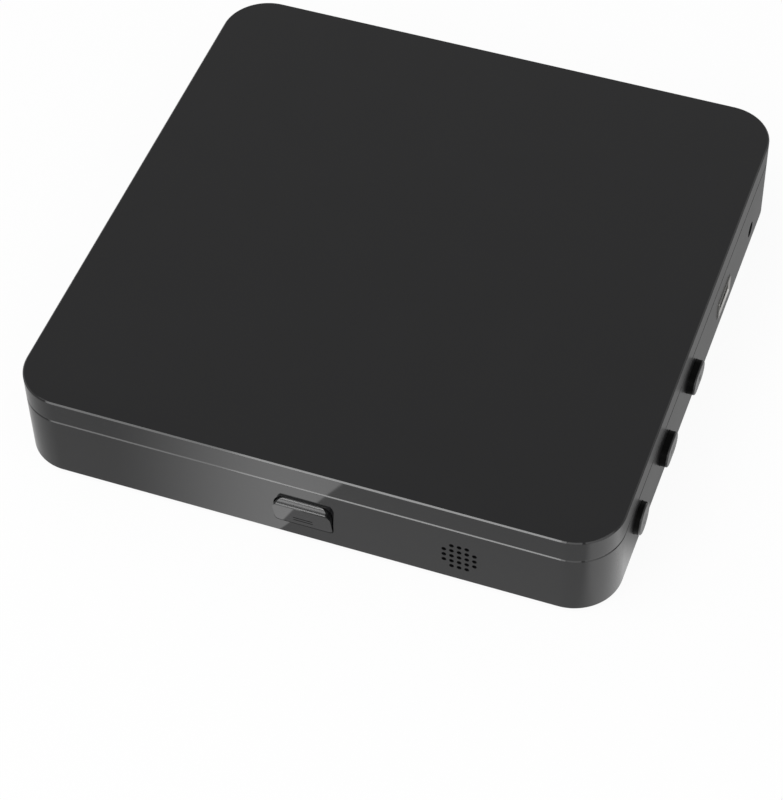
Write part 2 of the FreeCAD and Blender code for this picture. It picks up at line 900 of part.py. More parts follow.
def friction_washers():
    """One washer on the outer side of each lug."""
    rings = []
    for x in hinge_points:
        side = 1 if x > 0 else -1
        near = x + side * (lug_half + washer_slack)
        far = near + side * washer_thickness
        x0 = min(near, far)
        x1 = max(near, far)
        ring = rod_x(washer_radius, x0, x1, hinge_y, hinge_z)
        rings.append(ring.cut(rod_x(pin_radius + pin_slack, x0 - over, x1 + over, hinge_y, hinge_z)))
    return group(rings)


def foot(x, y):
    """A rubber foot, glued into its recess, with a rounded lower edge."""
    pad = rod_z(foot_radius - glue_gap, x, y, 0, case_bottom + foot_recess)
    return pad.makeFillet(foot_rounding, edges_at(pad, "Z", 0))


def round_button():
    """The power button: cap, flange behind the wall and plunger."""
    cap = rod_x(power_radius, inner_right - weld, right + power_proud, power_y, button_z)
    cap = cap.makeFillet(button_rounding, edges_at(cap, "X", right + power_proud))
    flange = rod_x(power_radius + button_flange, inner_right - button_flange_thickness, inner_right,
                   power_y, button_z)
    return joined([cap, flange, plunger(power_y)])


def pill_button(y):
    cap = pill_x(pill_length, pill_height, y, button_z, inner_right - weld, right + pill_proud)
    cap = cap.makeFillet(button_rounding, edges_at(cap, "X", right + pill_proud))
    flange = pill_x(pill_length + 2 * button_flange, pill_height + 2 * button_flange, y, button_z,
                    inner_right - button_flange_thickness, inner_right)
    return joined([cap, flange, plunger(y)])


def plunger(y):
    """The stem behind a button that reaches into its switch."""
    return rod_x(plunger_radius, switch_face - plunger_reach,
                 inner_right - button_flange_thickness + weld, y, button_z)


def side_switches():
    """Three switches at the board's edge, each with a round mouth for a plunger."""
    half = switch_size / 2
    mouth_end = switch_face - plunger_reach - button_travel - plunger_room
    bodies = []
    for y in (power_y, play_y, stop_y):
        body = block(switch_face - switch_depth, switch_face, y - half, y + half,
                     board_top, button_z + half)
        mouth = rod_x(plunger_radius + plunger_slack, mouth_end, switch_face + over, y, button_z)
        bodies.append(body.cut(mouth))
    return group(bodies)


def main_board():
    """An L-shaped board along the rear and the right side."""
    outline = case_prism(wall + board_margin, board_under, board_top)
    low = board_under - over
    high = board_top + over
    board = outline.cut(block(-right, board_front_x, front, board_rear_y, low, high))
    half = jack_body[0] / 2 + fit_gap
    tools = [rod_z(base_post_radius + fit_gap, x, y, low, high) for x, y in post_points]
    tools += [rod_z(small_screw_radius + screw_slack, x, y, low, high) for x, y in board_screw_points]
    tools.append(block(inner_right - jack_depth - fit_gap, right, jack_y - half, jack_y + half,
                       low, high))
    return cut(board, tools)


def chip_centre():
    return (chip_x, board_rear_y + sink_size / 2 + sink_margin)


def on_board(x, y, size, z=board_top):
    """A block of this length, depth and height that stands on the board round a point."""
    length, depth, height = size
    return block(x - length / 2, x + length / 2, y - depth / 2, y + depth / 2, z, z + height)


def system_chip():
    return on_board(*chip_centre(), (chip_size, chip_size, chip_height))


def heat_sink():
    x, y = chip_centre()
    low = board_top + chip_height
    parts = [on_board(x, y, (sink_size, sink_size, sink_base), low)]
    pitch = (sink_size - fin_thickness) / (fin_count - 1)
    for index in range(fin_count):
        fin_x = x + (index - (fin_count - 1) / 2) * pitch
        parts.append(on_board(fin_x, y, (fin_thickness, sink_size, sink_height), low))
    return joined(parts)


def memory_chips():
    x, y = chip_centre()
    offset = sink_size / 2 + memory_gap + memory_size[0] / 2
    return group([on_board(x + side * offset, y, memory_size) for side in (-1, 1)])


def capacitors():
    """Upright cans at the board's left end and along its right arm."""
    left = -inner_right + board_margin + 2 * can_inset
    back = board_rear_y + 2 * can_inset
    near = board_front_x + can_inset
    cans = [(left, back, large_can), (left + can_pitch, back, small_can),
            (left + can_pitch, back + can_pitch, small_can),
            (near, board_rear_y + can_inset, small_can),
            (near, board_rear_y + can_inset + can_pitch, large_can), (near, front_can_y, small_can)]
    return group([rod_z(radius, x, y, board_top, board_top + height)
                  for x, y, (radius, height) in cans])


def board_parts():
    """The cable's connector, a coil, a crystal and a flash chip."""
    half = cable_half + connector_wall
    y0 = board_rear_y + connector_inset
    connector = block(-half, half, y0, y0 + connector_depth, board_top, sled_bottom + connector_wall)
    slot = block(-cable_half - fit_gap, cable_half + fit_gap, y0 - over,
                 board_rear_y + cable_insert + fit_gap, sled_bottom - cable_thickness - cable_slack,
                 sled_bottom + cable_slack)
    x = board_front_x + part_inset
    radius, height = coil_size
    coil = rod_z(radius, x, coil_y, board_top, board_top + height)
    return group([connector.cut(slot), coil, on_board(x, crystal_y, crystal_size),
                  on_board(x, flash_y, flash_size)])


def infrared_receiver():
    """A block with a round lens that looks out through the front holes."""
    y0 = inner_front + window_thickness + receiver_setback
    x = grille_x - receiver_offset
    z = case_bottom + grille_height
    width, depth = receiver_size
    radius, reach = receiver_lens
    body = block(x - width / 2, x + width / 2, y0, y0 + depth, board_top, z + receiver_top)
    return joined([body, rod_y(radius, x, y0 - reach, y0 + weld, z)])


def status_lamp():
    x = grille_x + lamp_offset
    z = case_bottom + grille_height
    y0 = inner_front + window_thickness + lamp_setback
    y1 = y0 + lamp_length
    dome = rod_y(lamp_radius, x, y0, y1, z)
    leg = block(x - lamp_radius, x + lamp_radius, y1 - lamp_radius, y1, board_top, z)
    return joined([dome, leg])


def receiver_window():
    """The dark plate behind the front holes."""
    half_x = grille_pitch_x * grille_rows / 2 + window_margin
    half_z = grille_pitch_z * grille_rows / 2 + window_margin / 3
    z = case_bottom + grille_height
    return block(grille_x - half_x, grille_x + half_x, inner_front, inner_front + window_thickness,
                 z - half_z, z + half_z)


def magnet_point():
    return (right - magnet_inset[0], front + magnet_inset[1])


def lid_magnet():
    x, y = magnet_point()
    return rod_z(magnet_radius, x, y, liner_under - magnet_thickness, liner_under)


def lid_sensor():
    return on_board(*magnet_point(), sensor_size)


def usb_socket():
    """A steel shell with a flared mouth and a tongue inside."""
    z = case_bottom + usb_height
    width, height = usb_shell
    mouth = right + usb_proud
    inner = mouth - usb_depth
    stand_length, stand_inset = usb_stand

    def ring(x0, x1, across, tall):
        return block(x0, x1, usb_y - across / 2, usb_y + across / 2, z - tall / 2, z + tall / 2)

    shell = ring(inner, mouth, width, height)
    flange = ring(mouth - usb_flange_depth, mouth, *usb_flange)
    stand = block(inner, inner + stand_length, usb_y - width / 2 + stand_inset,
                  usb_y + width / 2 - stand_inset, board_top, z - height / 2 + weld)
    cavity = ring(inner + socket_back, mouth + over, width - 2 * socket_sheet, height - 2 * socket_sheet)
    tongue_width, tongue_height = usb_tongue
    low = z + usb_tongue_offset
    tongue = block(inner + socket_back / 2, mouth - tongue_setback, usb_y - tongue_width / 2,
                   usb_y + tongue_width / 2, low, low + tongue_height)
    return joined([joined([shell, flange, stand]).cut(cavity), tongue])


def headphone_jack():
    """A jack that sits in a notch of the board, with wings on the board's upper face."""
    z = case_bottom + jack_height
    width, height = jack_body
    high = z + height / 2
    inner = inner_right - jack_depth
    side_reach, rear_reach, setback = jack_wing
    body = block(inner, inner_right, jack_y - width / 2, jack_y + width / 2, z - height / 2, high)
    wings = block(inner - rear_reach, inner_right - setback, jack_y - width / 2 - side_reach,
                  jack_y + width / 2 + side_reach, board_top, high)
    bore = rod_x(jack_bore_radius, inner + jack_back, inner_right + over, jack_y, z)
    return cut(joined([body, wings]), [bore])


def hdmi_profile(inset, y0, y1):
    """The socket's outline, with its two lower corners cut off, swept along Y."""
    width, height = hdmi_shell
    low = hdmi_low + inset
    body = block(hdmi_x - width / 2 + inset, hdmi_x + width / 2 - inset, y0, y1,
                 low, hdmi_low + height - inset)
    edges = [edge for edge in body.Edges
             if edge.BoundBox.ZMax < low + 1e-4 and edge.BoundBox.YLength > 1]
    return body.makeChamfer(hdmi_chamfer, edges)


def hdmi_socket():
    mouth = rear - mouth_recess
    inner = mouth - hdmi_depth
    shell = hdmi_profile(0, inner, mouth)
    cavity = hdmi_profile(socket_sheet, inner + socket_back, mouth + over)
    width, height = hdmi_shell
    foot_width, foot_length, foot_inset_x = hdmi_foot
    feet = []
    for side in (-1, 1):
        x = hdmi_x + side * (width / 2 - foot_inset_x)
        feet.append(block(x - foot_width / 2, x + foot_width / 2, inner + over,
                          inner + over + foot_length, board_top, hdmi_low))
    tongue_width, tongue_height = hdmi_tongue
    low = hdmi_low + (height - socket_sheet) / 2
    tongue = block(hdmi_x - tongue_width / 2, hdmi_x + tongue_width / 2, inner + socket_back / 2,
                   mouth - tongue_setback, low, low + tongue_height)
    return joined([joined([shell] + feet).cut(cavity), tongue])


def coaxial_jack():
    """A round metal barrel on a block, with a hole for the centre contact."""
    z = case_bottom + coax_height
    width, height = coax_body
    block_rear = inner_rear - socket_gap
    body = block(coax_x - width / 2, coax_x + width / 2, block_rear - coax_depth, block_rear,
                 board_top, board_top + height)
    barrel = rod_y(coax_radius, coax_x, block_rear - weld, rear + coax_proud, z)
    barrel = barrel.makeChamfer(coax_chamfer, edges_at(barrel, "Y", rear + coax_proud))
    collar = rod_y(coax_radius + coax_collar, coax_x, block_rear - weld, rear, z)
    bore = rod_y(coax_hole_radius, coax_x, rear - over, rear + coax_proud + over, z)
    return joined([body, collar, barrel]).cut(bore)


def power_inlet():
    """A round inlet with a centre pin."""
    z = case_bottom + dc_height
    width, height = dc_body
    block_rear = inner_rear - socket_gap
    body = block(dc_x - width / 2, dc_x + width / 2, block_rear - dc_depth, block_rear,
                 board_top, board_top + height)
    collar = rod_y(dc_opening_radius, dc_x, block_rear - weld, rear - dc_recess, z)
    bore = rod_y(dc_opening_radius - dc_collar, dc_x, inner_rear - dc_bore_depth, rear + over, z)
    pin = rod_y(dc_pin_radius, dc_x, inner_rear - dc_bore_depth - weld, rear - dc_pin_recess, z)
    return joined([joined([body, collar]).cut(bore), pin])


def loader_chassis():
    """A folded steel plate with a window for the sled, rod clips and a motor tab."""
    plate = block(-chassis_half, chassis_half, chassis_front, chassis_rear,
                  chassis_height, chassis_top)
    low = chassis_height - flange_depth
    joint = chassis_height + weld
    edge = chassis_half - sheet
    sides = [block(x, x + sheet, chassis_front, chassis_rear, low, chassis_top)
             for x in (-chassis_half, edge)]
    clips = []
    for x in (-rod_offset, rod_offset, lead_screw_x):
        clips.append(block(x - clip_half, x + clip_half, sled_window_front - clip_length,
                           sled_window_front, low, joint))
    for x in (-rod_offset, rod_offset):
        clips.append(block(x - clip_half, x + clip_half, sled_window_rear,
                           sled_window_rear + clip_rear_length, low, joint))
    clips.append(block(lead_screw_x - motor_tab_half, lead_screw_x + motor_tab_half,
                       motor_face - sheet, motor_face, low, joint))
    body = joined([plate] + sides + clips)
    window_left = -rod_offset - sleeve_half - over
    window_right = lead_screw_x + nut_half + fit_gap
    room = sled_motor_radius + fit_gap
    tools = [block(window_left, window_right, sled_window_front, sled_window_rear,
                   chassis_height, chassis_top + over),
             block(lead_screw_x - room, lead_screw_x + room, motor_face,
                   motor_face + sled_motor_length + fit_gap, chassis_height - over, chassis_top + over)]
    for x in (-rod_offset, rod_offset):
        tools.append(rod_y(rod_radius + rod_slack, x, sled_window_front - clip_grip - over,
                           sled_window_rear + clip_grip, rod_height))
    tools.append(rod_y(lead_screw_radius + rod_slack, lead_screw_x, sled_window_front - clip_grip - over,
                       motor_face + over, rod_height))
    for x, y in damper_points:
        tools.append(rod_z(damper_core_radius, x, y, chassis_height - over, chassis_top + over))
    return cut(body, tools)


def damper_grommets():
    """A grooved rubber grommet at each corner of the chassis."""
    rings = []
    for x, y in damper_points:
        body = rod_z(damper_radius, x, y, damper_top() - damper_height, damper_top())
        groove = rod_z(damper_radius + over, x, y, chassis_height, chassis_top)
        core = rod_z(damper_core_radius - rod_slack, x, y, chassis_height - over, chassis_top + over)
        bore = rod_z(small_screw_radius + screw_slack, x, y, 0, case_top)
        rings.append(body.cut(groove.cut(core)).cut(bore))
    return group(rings)


def loader_screws():
    low = damper_top() - damper_height
    return group([screw(small_screw_radius, damper_radius - rod_radius / 3, small_head_height, x, y,
                        low, deck_level_under(x, y) - loader_screw_gap) for x, y in damper_points])


def guide_rods():
    end = clip_grip - rod_slack
    return group([rod_y(rod_radius, x, sled_window_front - end - over, sled_window_rear + end, rod_height)
                  for x in (-rod_offset, rod_offset)])


def pickup_sled():
    """The carriage: a sleeve on one rod, a fork on the other, and the screw's nut."""
    front_y = -sled_inner - sled_length
    rear_y = -sled_inner
    inside = sled_half - weld
    rod_low = rod_height - sleeve_half
    rod_high = rod_height + sleeve_half
    body = block(-sled_half, sled_half, front_y, rear_y, sled_bottom, sled_top)
    sleeve = block(-rod_offset - sleeve_half, -inside, front_y, rear_y, rod_low, rod_high)
    fork = block(inside, rod_offset + sleeve_half, front_y + fork_setback, rear_y - fork_setback,
                 rod_low, rod_high)
    nut_front = -lens_radius_at_rest - nut_length / 2
    nut_top = rod_height + nut_height
    arm = block(inside, lead_screw_x + nut_half, nut_front, nut_front + nut_length,
                nut_top - weld, rod_height + nut_arm_height)
    nut = block(lead_screw_x - nut_half, lead_screw_x + nut_half, nut_front, nut_front + nut_length,
                rod_height, nut_top)
    sled = joined([body, sleeve, fork, arm, nut])
    half_x = lens_holder_half[0] + fit_gap
    half_y = lens_holder_half[1] + fit_gap
    y = -lens_radius_at_rest
    well = block(-half_x, half_x, y - half_y, y + half_y,
                 lens_holder_bottom - lens_travel - fit_gap, sled_top + over)
    slot = rod_radius + rod_slack
    y0 = front_y - over
    y1 = rear_y + over
    tools = [well, rod_y(slot, -rod_offset, y0, y1, rod_height), rod_y(slot, rod_offset, y0, y1, rod_height),
             block(rod_offset, rod_offset + sleeve_half + over, y0, y1,
                   rod_height - slot, rod_height + slot),
             rod_y(lead_screw_radius + nut_slack, lead_screw_x, y0, y1, rod_height)]
    return cut(sled, tools)


def lens_holder():
    """The sprung frame that lifts the lens, with a raised round seat."""
    half_x, half_y = lens_holder_half
    seat_wall, seat_rise = lens_seat
    y = -lens_radius_at_rest
    frame = block(-half_x, half_x, y - half_y, y + half_y, lens_holder_bottom, lens_holder_top)
    seat = rod_z(lens_radius + seat_wall, 0, y, lens_holder_top - weld, lens_holder_top + seat_rise)
    bore = rod_z(lens_radius, 0, y, lens_holder_top - lens_seat_depth, lens_holder_top + over)
    inset, width, margin, depth = coil_slot
    slots = []
    for side in (-1, 1):
        x = side * (half_x - inset)
        slots.append(block(x - width / 2, x + width / 2, y - half_y + margin, y + half_y - margin,
                           lens_holder_top - depth, lens_holder_top + over))
    return cut(joined([frame, seat]), [bore] + slots)


def objective_lens():
    """A small lens with a domed top."""
    y = -lens_radius_at_rest
    low = lens_holder_top - lens_seat_depth
    drum = rod_z(lens_radius, 0, y, low, low + lens_height)
    dome = Part.makeSphere(lens_dome_radius, vector(0, y, low + lens_height - lens_dome_radius))
    return drum.common(dome)


def lead_screw():
    """The screw that drives the sled, with a thin journal in the motor."""
    body = rod_y(lead_screw_radius, lead_screw_x, sled_window_front - clip_grip - over + fit_gap,
                 motor_face - fit_gap, rod_height)
    journal = rod_y(journal_radius, lead_screw_x, motor_face - fit_gap - weld,
                    motor_face + journal_length, rod_height)
    return joined([body, journal])


def sled_motor():
    rear_face = motor_face + sled_motor_length
    can = rod_y(sled_motor_radius, lead_screw_x, motor_face, rear_face, rod_height)
    can = can.makeChamfer(motor_chamfer, edges_at(can, "Y", rear_face))
    return can.cut(rod_y(journal_radius + journal_slack, lead_screw_x, motor_face - over,
                         motor_face + journal_length + fit_gap, rod_height))


def pickup_cable():
    """The flat cable from under the sled to its connector on the board."""
    return block(-cable_half, cable_half, -sled_inner - sled_length + cable_lap,
                 board_rear_y + cable_insert, sled_bottom - cable_thickness, sled_bottom)


def motor_base():
    """The spindle motor's plate and its bearing tube."""
    half = motor_plate_half
    plate = block(-half, half, motor_plate_front, motor_plate_rear, chassis_top, motor_floor)
    tube = rod_z(bearing_radius, 0, 0, chassis_top, motor_floor + bearing_height)
    bore = rod_z(shaft_radius + bearing_slack, 0, 0, motor_floor - fit_gap, case_top)
    return joined([plate, tube]).cut(bore)


def motor_stator():
    """A core with one tooth for each coil, round the bearing tube."""
    low = motor_floor + stator_lift
    high = low + stator_height
    shapes = [rod_z(stator_core_radius, 0, 0, low, high)]
    shoe_start = stator_radius - shoe_depth - weld
    for index in range(stator_teeth):
        arm = block(stator_core_radius / 2, shoe_start + weld, -tooth_half, tooth_half, low, high)
        shoe = block(shoe_start, stator_radius - weld, -shoe_half, shoe_half, low, high)
        tooth = joined([arm, shoe])
        tooth.rotate(vector(0, 0, 0), vector(0, 0, 1), 360 * index / stator_teeth)
        shapes.append(tooth)
    return joined(shapes).cut(rod_z(bearing_radius + bearing_slack, 0, 0, low - over, high + over))


def spindle_rotor():
    """The motor's turning can, with the shaft that carries the turntable."""
    can = rod_z(rotor_radius, 0, 0, rotor_low, rotor_top)
    can = can.makeFillet(rotor_rounding, edges_at(can, "Z", rotor_top))
    can = can.cut(rod_z(rotor_radius - rotor_sheet, 0, 0, rotor_low - over, rotor_top - rotor_sheet))
    return joined([can, rod_z(shaft_radius, 0, 0, motor_floor, turntable_top + shaft_insert)])


def turntable():
    """The disc's seat with its centring hub and a pocket for each claw."""
    neck = rod_z(neck_radius, 0, 0, rotor_top, turntable_low + weld)
    plate = rod_z(turntable_radius, 0, 0, turntable_low, turntable_top)
    hub = rod_z(hub_radius, 0, 0, turntable_top - weld, hub_top)
    cone = Part.makeCone(hub_radius, hub_cone_radius, hub_cone_height, vector(0, 0, hub_top))
    body = joined([neck, plate, hub, cone])
    tools = [rod_z(shaft_radius + screw_slack, 0, 0, 0, turntable_top + shaft_insert + screw_slack)]
    low = claw_low() - claw_slack / 2
    inner = hub_radius + claw_reach - claw_length - claw_travel - claw_slack
    half = claw_half + claw_slack / 2
    for index in range(claw_count):
        pocket = block(inner, hub_radius + over, -half, half, low, low + claw_height + claw_slack)
        pocket.rotate(vector(0, 0, 0), vector(0, 0, 1), claw_angle(index))
        tools.append(pocket)
    return cut(body, tools)


def claw_low():
    """The underside of the chucking claws, just above the disc."""
    return disc_level + disc_thickness + claw_lift


def claw_angle(index):
    return 90 + 360 * index / claw_count


def chuck_claw(index):
    """A small sliding claw that snaps over the disc's inner edge."""
    tip = hub_radius + claw_reach
    heel = tip - claw_length
    low = claw_low()
    high = low + claw_height
    outline = [(heel, -claw_half, low), (tip, -claw_half, low), (tip, -claw_half, high - claw_slope),
               (tip - claw_slope, -claw_half, high), (heel, -claw_half, high)]
    claw = extruded(outline, (0, 2 * claw_half, 0))
    claw.rotate(vector(0, 0, 0), vector(0, 0, 1), claw_angle(index))
    return claw


def turntable_ring():
    """The rubber ring that the disc sits on."""
    outer = turntable_radius - ring_inset
    ring = rod_z(outer, 0, 0, turntable_top, disc_level)
    return ring.cut(rod_z(outer - ring_width, 0, 0, turntable_top - over, disc_level + over))


def lid_buffers():
    """Four rubber studs on the deck, just under the closed lid's liner."""
    x = inner_right - buffer_inset
    return group([rod_z(buffer_radius, side * x, y, deck_top, liner_under - fit_gap)
                  for side in (-1, 1) for y in buffer_rows])


def small_screw(x, y, z_head, z_tip):
    return screw(small_screw_radius, small_head_radius, small_head_height, x, y, z_head, z_tip)


def case_screws():
    return group([screw(screw_radius, head_radius, head_height, x, y, floor_top + head_height,
                        post_split + case_screw_grip) for x, y in post_points])


def deck_screws():
    """Down through the hinge brackets, and up through the latch keeper."""
    hinge = [small_screw(x, y, deck_top + bracket_plate, deck_under - hinge_screw_grip)
             for x, y in hinge_screw_points]
    keeper = [small_screw(x, y, keeper_top - keeper_thickness, keeper_top + keeper_screw_grip)
              for x, y in keeper_screw_points]
    return group(hinge + keeper)


def lid_screws():
    """Up through the liner into the shell, and through the catch into the liner."""
    liner = [small_screw(x, y, liner_under, case_top - lid_skin) for x, y in liner_screw_points]
    catch = [small_screw(x, y, liner_under - bracket_plate, liner_top) for x, y in catch_screw_points]
    return group(liner + catch)


def board_screws():
    return group([small_screw(x, y, board_top, floor_top + board_screw_gap)
                  for x, y in board_screw_points])


def main():
    os.makedirs("parts", exist_ok=True)
    export("base_shell", base_shell())
    export("deck_plate", deck_plate())
    feet = ("foot_front_left", "foot_front_right", "foot_rear_left", "foot_rear_right")
    for name, (x, y) in zip(feet, foot_points):
        export(name, foot(x, y))
    export("case_screws", case_screws())
    export("deck_screws", deck_screws())
    export("lid_buffers", lid_buffers())

    export("lid_shell", lid_shell())
    export("lid_liner", lid_liner())
    export("lid_catch", lid_catch())
    export("lid_magnet", lid_magnet())
    export("lid_screws", lid_screws())

    for side, x in zip(("left", "right"), hinge_points):
        export(f"hinge_bracket_{side}", hinge_bracket(x))
        export(f"hinge_pin_{side}", hinge_pin(x))
    export("friction_washers", friction_washers())

    export("open_tab", open_tab())
    export("latch_springs", latch_springs())
    export("latch_keeper", latch_keeper())

    export("power_button", round_button())
    export("play_button", pill_button(play_y))
    export("stop_button", pill_button(stop_y))
    export("side_switches", side_switches())

    export("main_board", main_board())
    export("board_screws", board_screws())
    export("system_chip", system_chip())
    export("heat_sink", heat_sink())
    export("memory_chips", memory_chips())
    export("capacitors", capacitors())
    export("board_parts", board_parts())
    export("infrared_receiver", infrared_receiver())
    export("status_lamp", status_lamp())
    export("receiver_window", receiver_window())
    export("lid_sensor", lid_sensor())

    export("usb_socket", usb_socket())
    export("headphone_jack", headphone_jack())
    export("hdmi_socket", hdmi_socket())
    export("coaxial_jack", coaxial_jack())
    export("power_inlet", power_inlet())

    export("loader_chassis", loader_chassis())
    export("damper_grommets", damper_grommets())
    export("loader_screws", loader_screws())
    export("guide_rods", guide_rods())
    export("pickup_sled", pickup_sled())
    export("lens_holder", lens_holder())
    export("objective_lens", objective_lens())
    export("lead_screw", lead_screw())
    export("sled_motor", sled_motor())
    export("pickup_cable", pickup_cable())

    export("motor_base", motor_base())
    export("motor_stator", motor_stator())
    export("spindle_rotor", spindle_rotor())
    export("turntable", turntable())
    export("turntable_ring", turntable_ring())
    for index in range(claw_count):
        export(f"chuck_claw_{index + 1}", chuck_claw(index))


main()
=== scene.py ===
import json
import math

import bmesh
import bpy
from mathutils import Matrix, Vector


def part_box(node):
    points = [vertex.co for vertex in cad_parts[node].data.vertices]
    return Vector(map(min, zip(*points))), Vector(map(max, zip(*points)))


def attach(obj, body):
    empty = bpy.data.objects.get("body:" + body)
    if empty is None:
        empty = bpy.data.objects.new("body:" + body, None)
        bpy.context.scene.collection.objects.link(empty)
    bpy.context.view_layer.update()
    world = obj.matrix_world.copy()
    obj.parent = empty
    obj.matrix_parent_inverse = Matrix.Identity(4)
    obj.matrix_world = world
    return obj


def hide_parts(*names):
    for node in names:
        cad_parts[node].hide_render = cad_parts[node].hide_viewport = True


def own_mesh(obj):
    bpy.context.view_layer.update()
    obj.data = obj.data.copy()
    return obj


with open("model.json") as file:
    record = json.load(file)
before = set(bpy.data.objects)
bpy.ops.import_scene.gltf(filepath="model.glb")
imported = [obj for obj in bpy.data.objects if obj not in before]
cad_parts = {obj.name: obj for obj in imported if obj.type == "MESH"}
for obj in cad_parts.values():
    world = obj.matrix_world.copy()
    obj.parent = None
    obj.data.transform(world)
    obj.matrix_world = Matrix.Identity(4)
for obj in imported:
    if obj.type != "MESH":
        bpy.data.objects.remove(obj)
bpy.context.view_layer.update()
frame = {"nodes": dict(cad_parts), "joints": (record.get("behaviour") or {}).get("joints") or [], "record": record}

mm = 0.001

# The case, as the frame has it
lid_low, lid_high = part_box("lid_shell")
base_low, base_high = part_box("base_shell")
middle = (lid_low + lid_high) / 2
left, front = lid_low.x, lid_low.y
right, rear = lid_high.x, lid_high.y
corner_radius = 16 * mm
corner_segments = 28
wall = 2 * mm
base_bottom = base_low.z
floor_top = base_bottom + 2 * mm
lid_chamfer = 0.5 * mm
lid_lip_rounding = 0.15 * mm
rim_chamfer = 0.4 * mm
bottom_chamfer = 0.8 * mm
edge_softness = 0.06 * mm
flat_wall_angle = 9
weld = 0.2 * mm
merge_distance = 1e-7
same_place = 1e-6
nearly_parallel = 0.99
hinge = next(joint for joint in frame["joints"] if joint["name"] == "lid_hinge")
hinge_point = Vector(hinge["pos_m"])
lid_opening = math.radians(78)
sweep_clearance = 0.35 * mm
sweep_steps = 6
sweep_facets = 96

# The open tab
tab_half = 9.7 * mm
tab_corner = 4.5 * mm
tab_low_corner = 1.5 * mm
tab_low_z = base_bottom + 6.4 * mm
tab_high_z = tab_low_z + 11.9 * mm
tab_lip_z = tab_low_z + 10.7 * mm
tab_slack = 0.3 * mm
spring_wire = 0.25 * mm
spring_rounds = 7

# The block of holes in the front
grille_pitch_x = 2.5 * mm
grille_pitch_z = 2.55 * mm
grille_radius = 0.78 * mm
grille_rows = 5

# Buttons and sockets
button_slack = 0.2 * mm
power_radius = 5.4 * mm
pill_length = 12.9 * mm
pill_height = 8.2 * mm
pill_rounding = 0.4999
socket_slack = 0.3 * mm
usb_z = base_bottom + 11.6 * mm
usb_flange_half = 3.55 * mm
jack_z = base_bottom + 8.6 * mm
jack_opening_radius = 2.8 * mm
coax_z = base_bottom + 13.5 * mm
coax_opening_radius = 5.05 * mm
coax_barrel_radius = 4.2 * mm
coax_insert_radius = 3.2 * mm
inlet_z = base_bottom + 13 * mm
inlet_opening_radius = 3.5 * mm
inlet_pin_reach = 1.1 * mm
inlet_depth = 11 * mm
hdmi_tongue_drop = 2.4 * mm
hdmi_tongue_reach_x = 5.52 * mm
hdmi_tongue_reach_z = 0.62 * mm

# Cooling slots in the floor
vent_length = 13 * mm
vent_width = 2 * mm
vent_pitch = 5 * mm
vent_count = 8
vent_gap = 4 * mm

# Inside the case
post_radius = 4.5 * mm
post_height = 11.7 * mm
screw_well_radius = 2.9 * mm
screw_head_height = 1.6 * mm
lid_post_radius = 3 * mm
thread_pitch = 3 * mm


# Shader maths

class Socket:
    """A shader value: arithmetic on it adds Math nodes."""

    def __init__(self, finish, socket):
        self.finish = finish
        self.socket = socket

    def maths(self, operation, *values):
        return self.finish.node("ShaderNodeMath", {"operation": operation}, dict(enumerate(values)))

    def __add__(self, other):
        return self.maths("ADD", self, other)

    def __radd__(self, other):
        return self.maths("ADD", other, self)

    def __sub__(self, other):
        return self.maths("SUBTRACT", self, other)

    def __rsub__(self, other):
        return self.maths("SUBTRACT", other, self)

    def __mul__(self, other):
        return self.maths("MULTIPLY", self, other)

    def __rmul__(self, other):
        return self.maths("MULTIPLY", other, self)

    def __truediv__(self, other):
        return self.maths("DIVIDE", self, other)

    def __lt__(self, other):
        return self.maths("LESS_THAN", self, other)

    def __gt__(self, other):
        return self.maths("GREATER_THAN", self, other)

    def __abs__(self):
        return self.maths("ABSOLUTE", self)

    def larger(self, other):
        return self.maths("MAXIMUM", self, other)

    def smaller(self, other):
        return self.maths("MINIMUM", self, other)

    def root(self):
        return self.maths("SQRT", self)

    def between(self, low, high):
        """0 at low and under, 1 at high and over, smooth in between."""
        return self.finish.node("ShaderNodeMapRange", {"interpolation_type": "SMOOTHSTEP"},
                                {"Value": self, "From Min": low, "From Max": high})


class Nodes:
    """A node tree and short ways to add to it."""

    def __init__(self, tree):
        self.tree = tree
        tree.nodes.clear()

    def feed(self, socket, value):
        if isinstance(value, Socket):
            self.tree.links.new(value.socket, socket)
        else:
            socket.default_value = value

    def node(self, kind, settings=None, inputs=None, output=0):
        made = self.tree.nodes.new(kind)
        for name, value in (settings or {}).items():
            setattr(made, name, value)
        for name, value in (inputs or {}).items():
            self.feed(made.inputs[name], value)
        return Socket(self, made.outputs[output])

    def point(self, output="Object"):
        return self.node("ShaderNodeTexCoord", output=output)

    def parts(self, point):
        """The three numbers of a point."""
        split = self.node("ShaderNodeSeparateXYZ", inputs={0: point})
        return [Socket(self, split.socket.node.outputs[axis]) for axis in range(3)]

    def mixed_shader(self, factor, first, second):
        return self.node("ShaderNodeMixShader", {}, {0: factor, 1: first, 2: second})

    def glow(self, kind, strength):
        """A shader that gives off plain white light."""
        return self.node(kind, {}, {"Color": (1, 1, 1, 1), "Strength": strength})


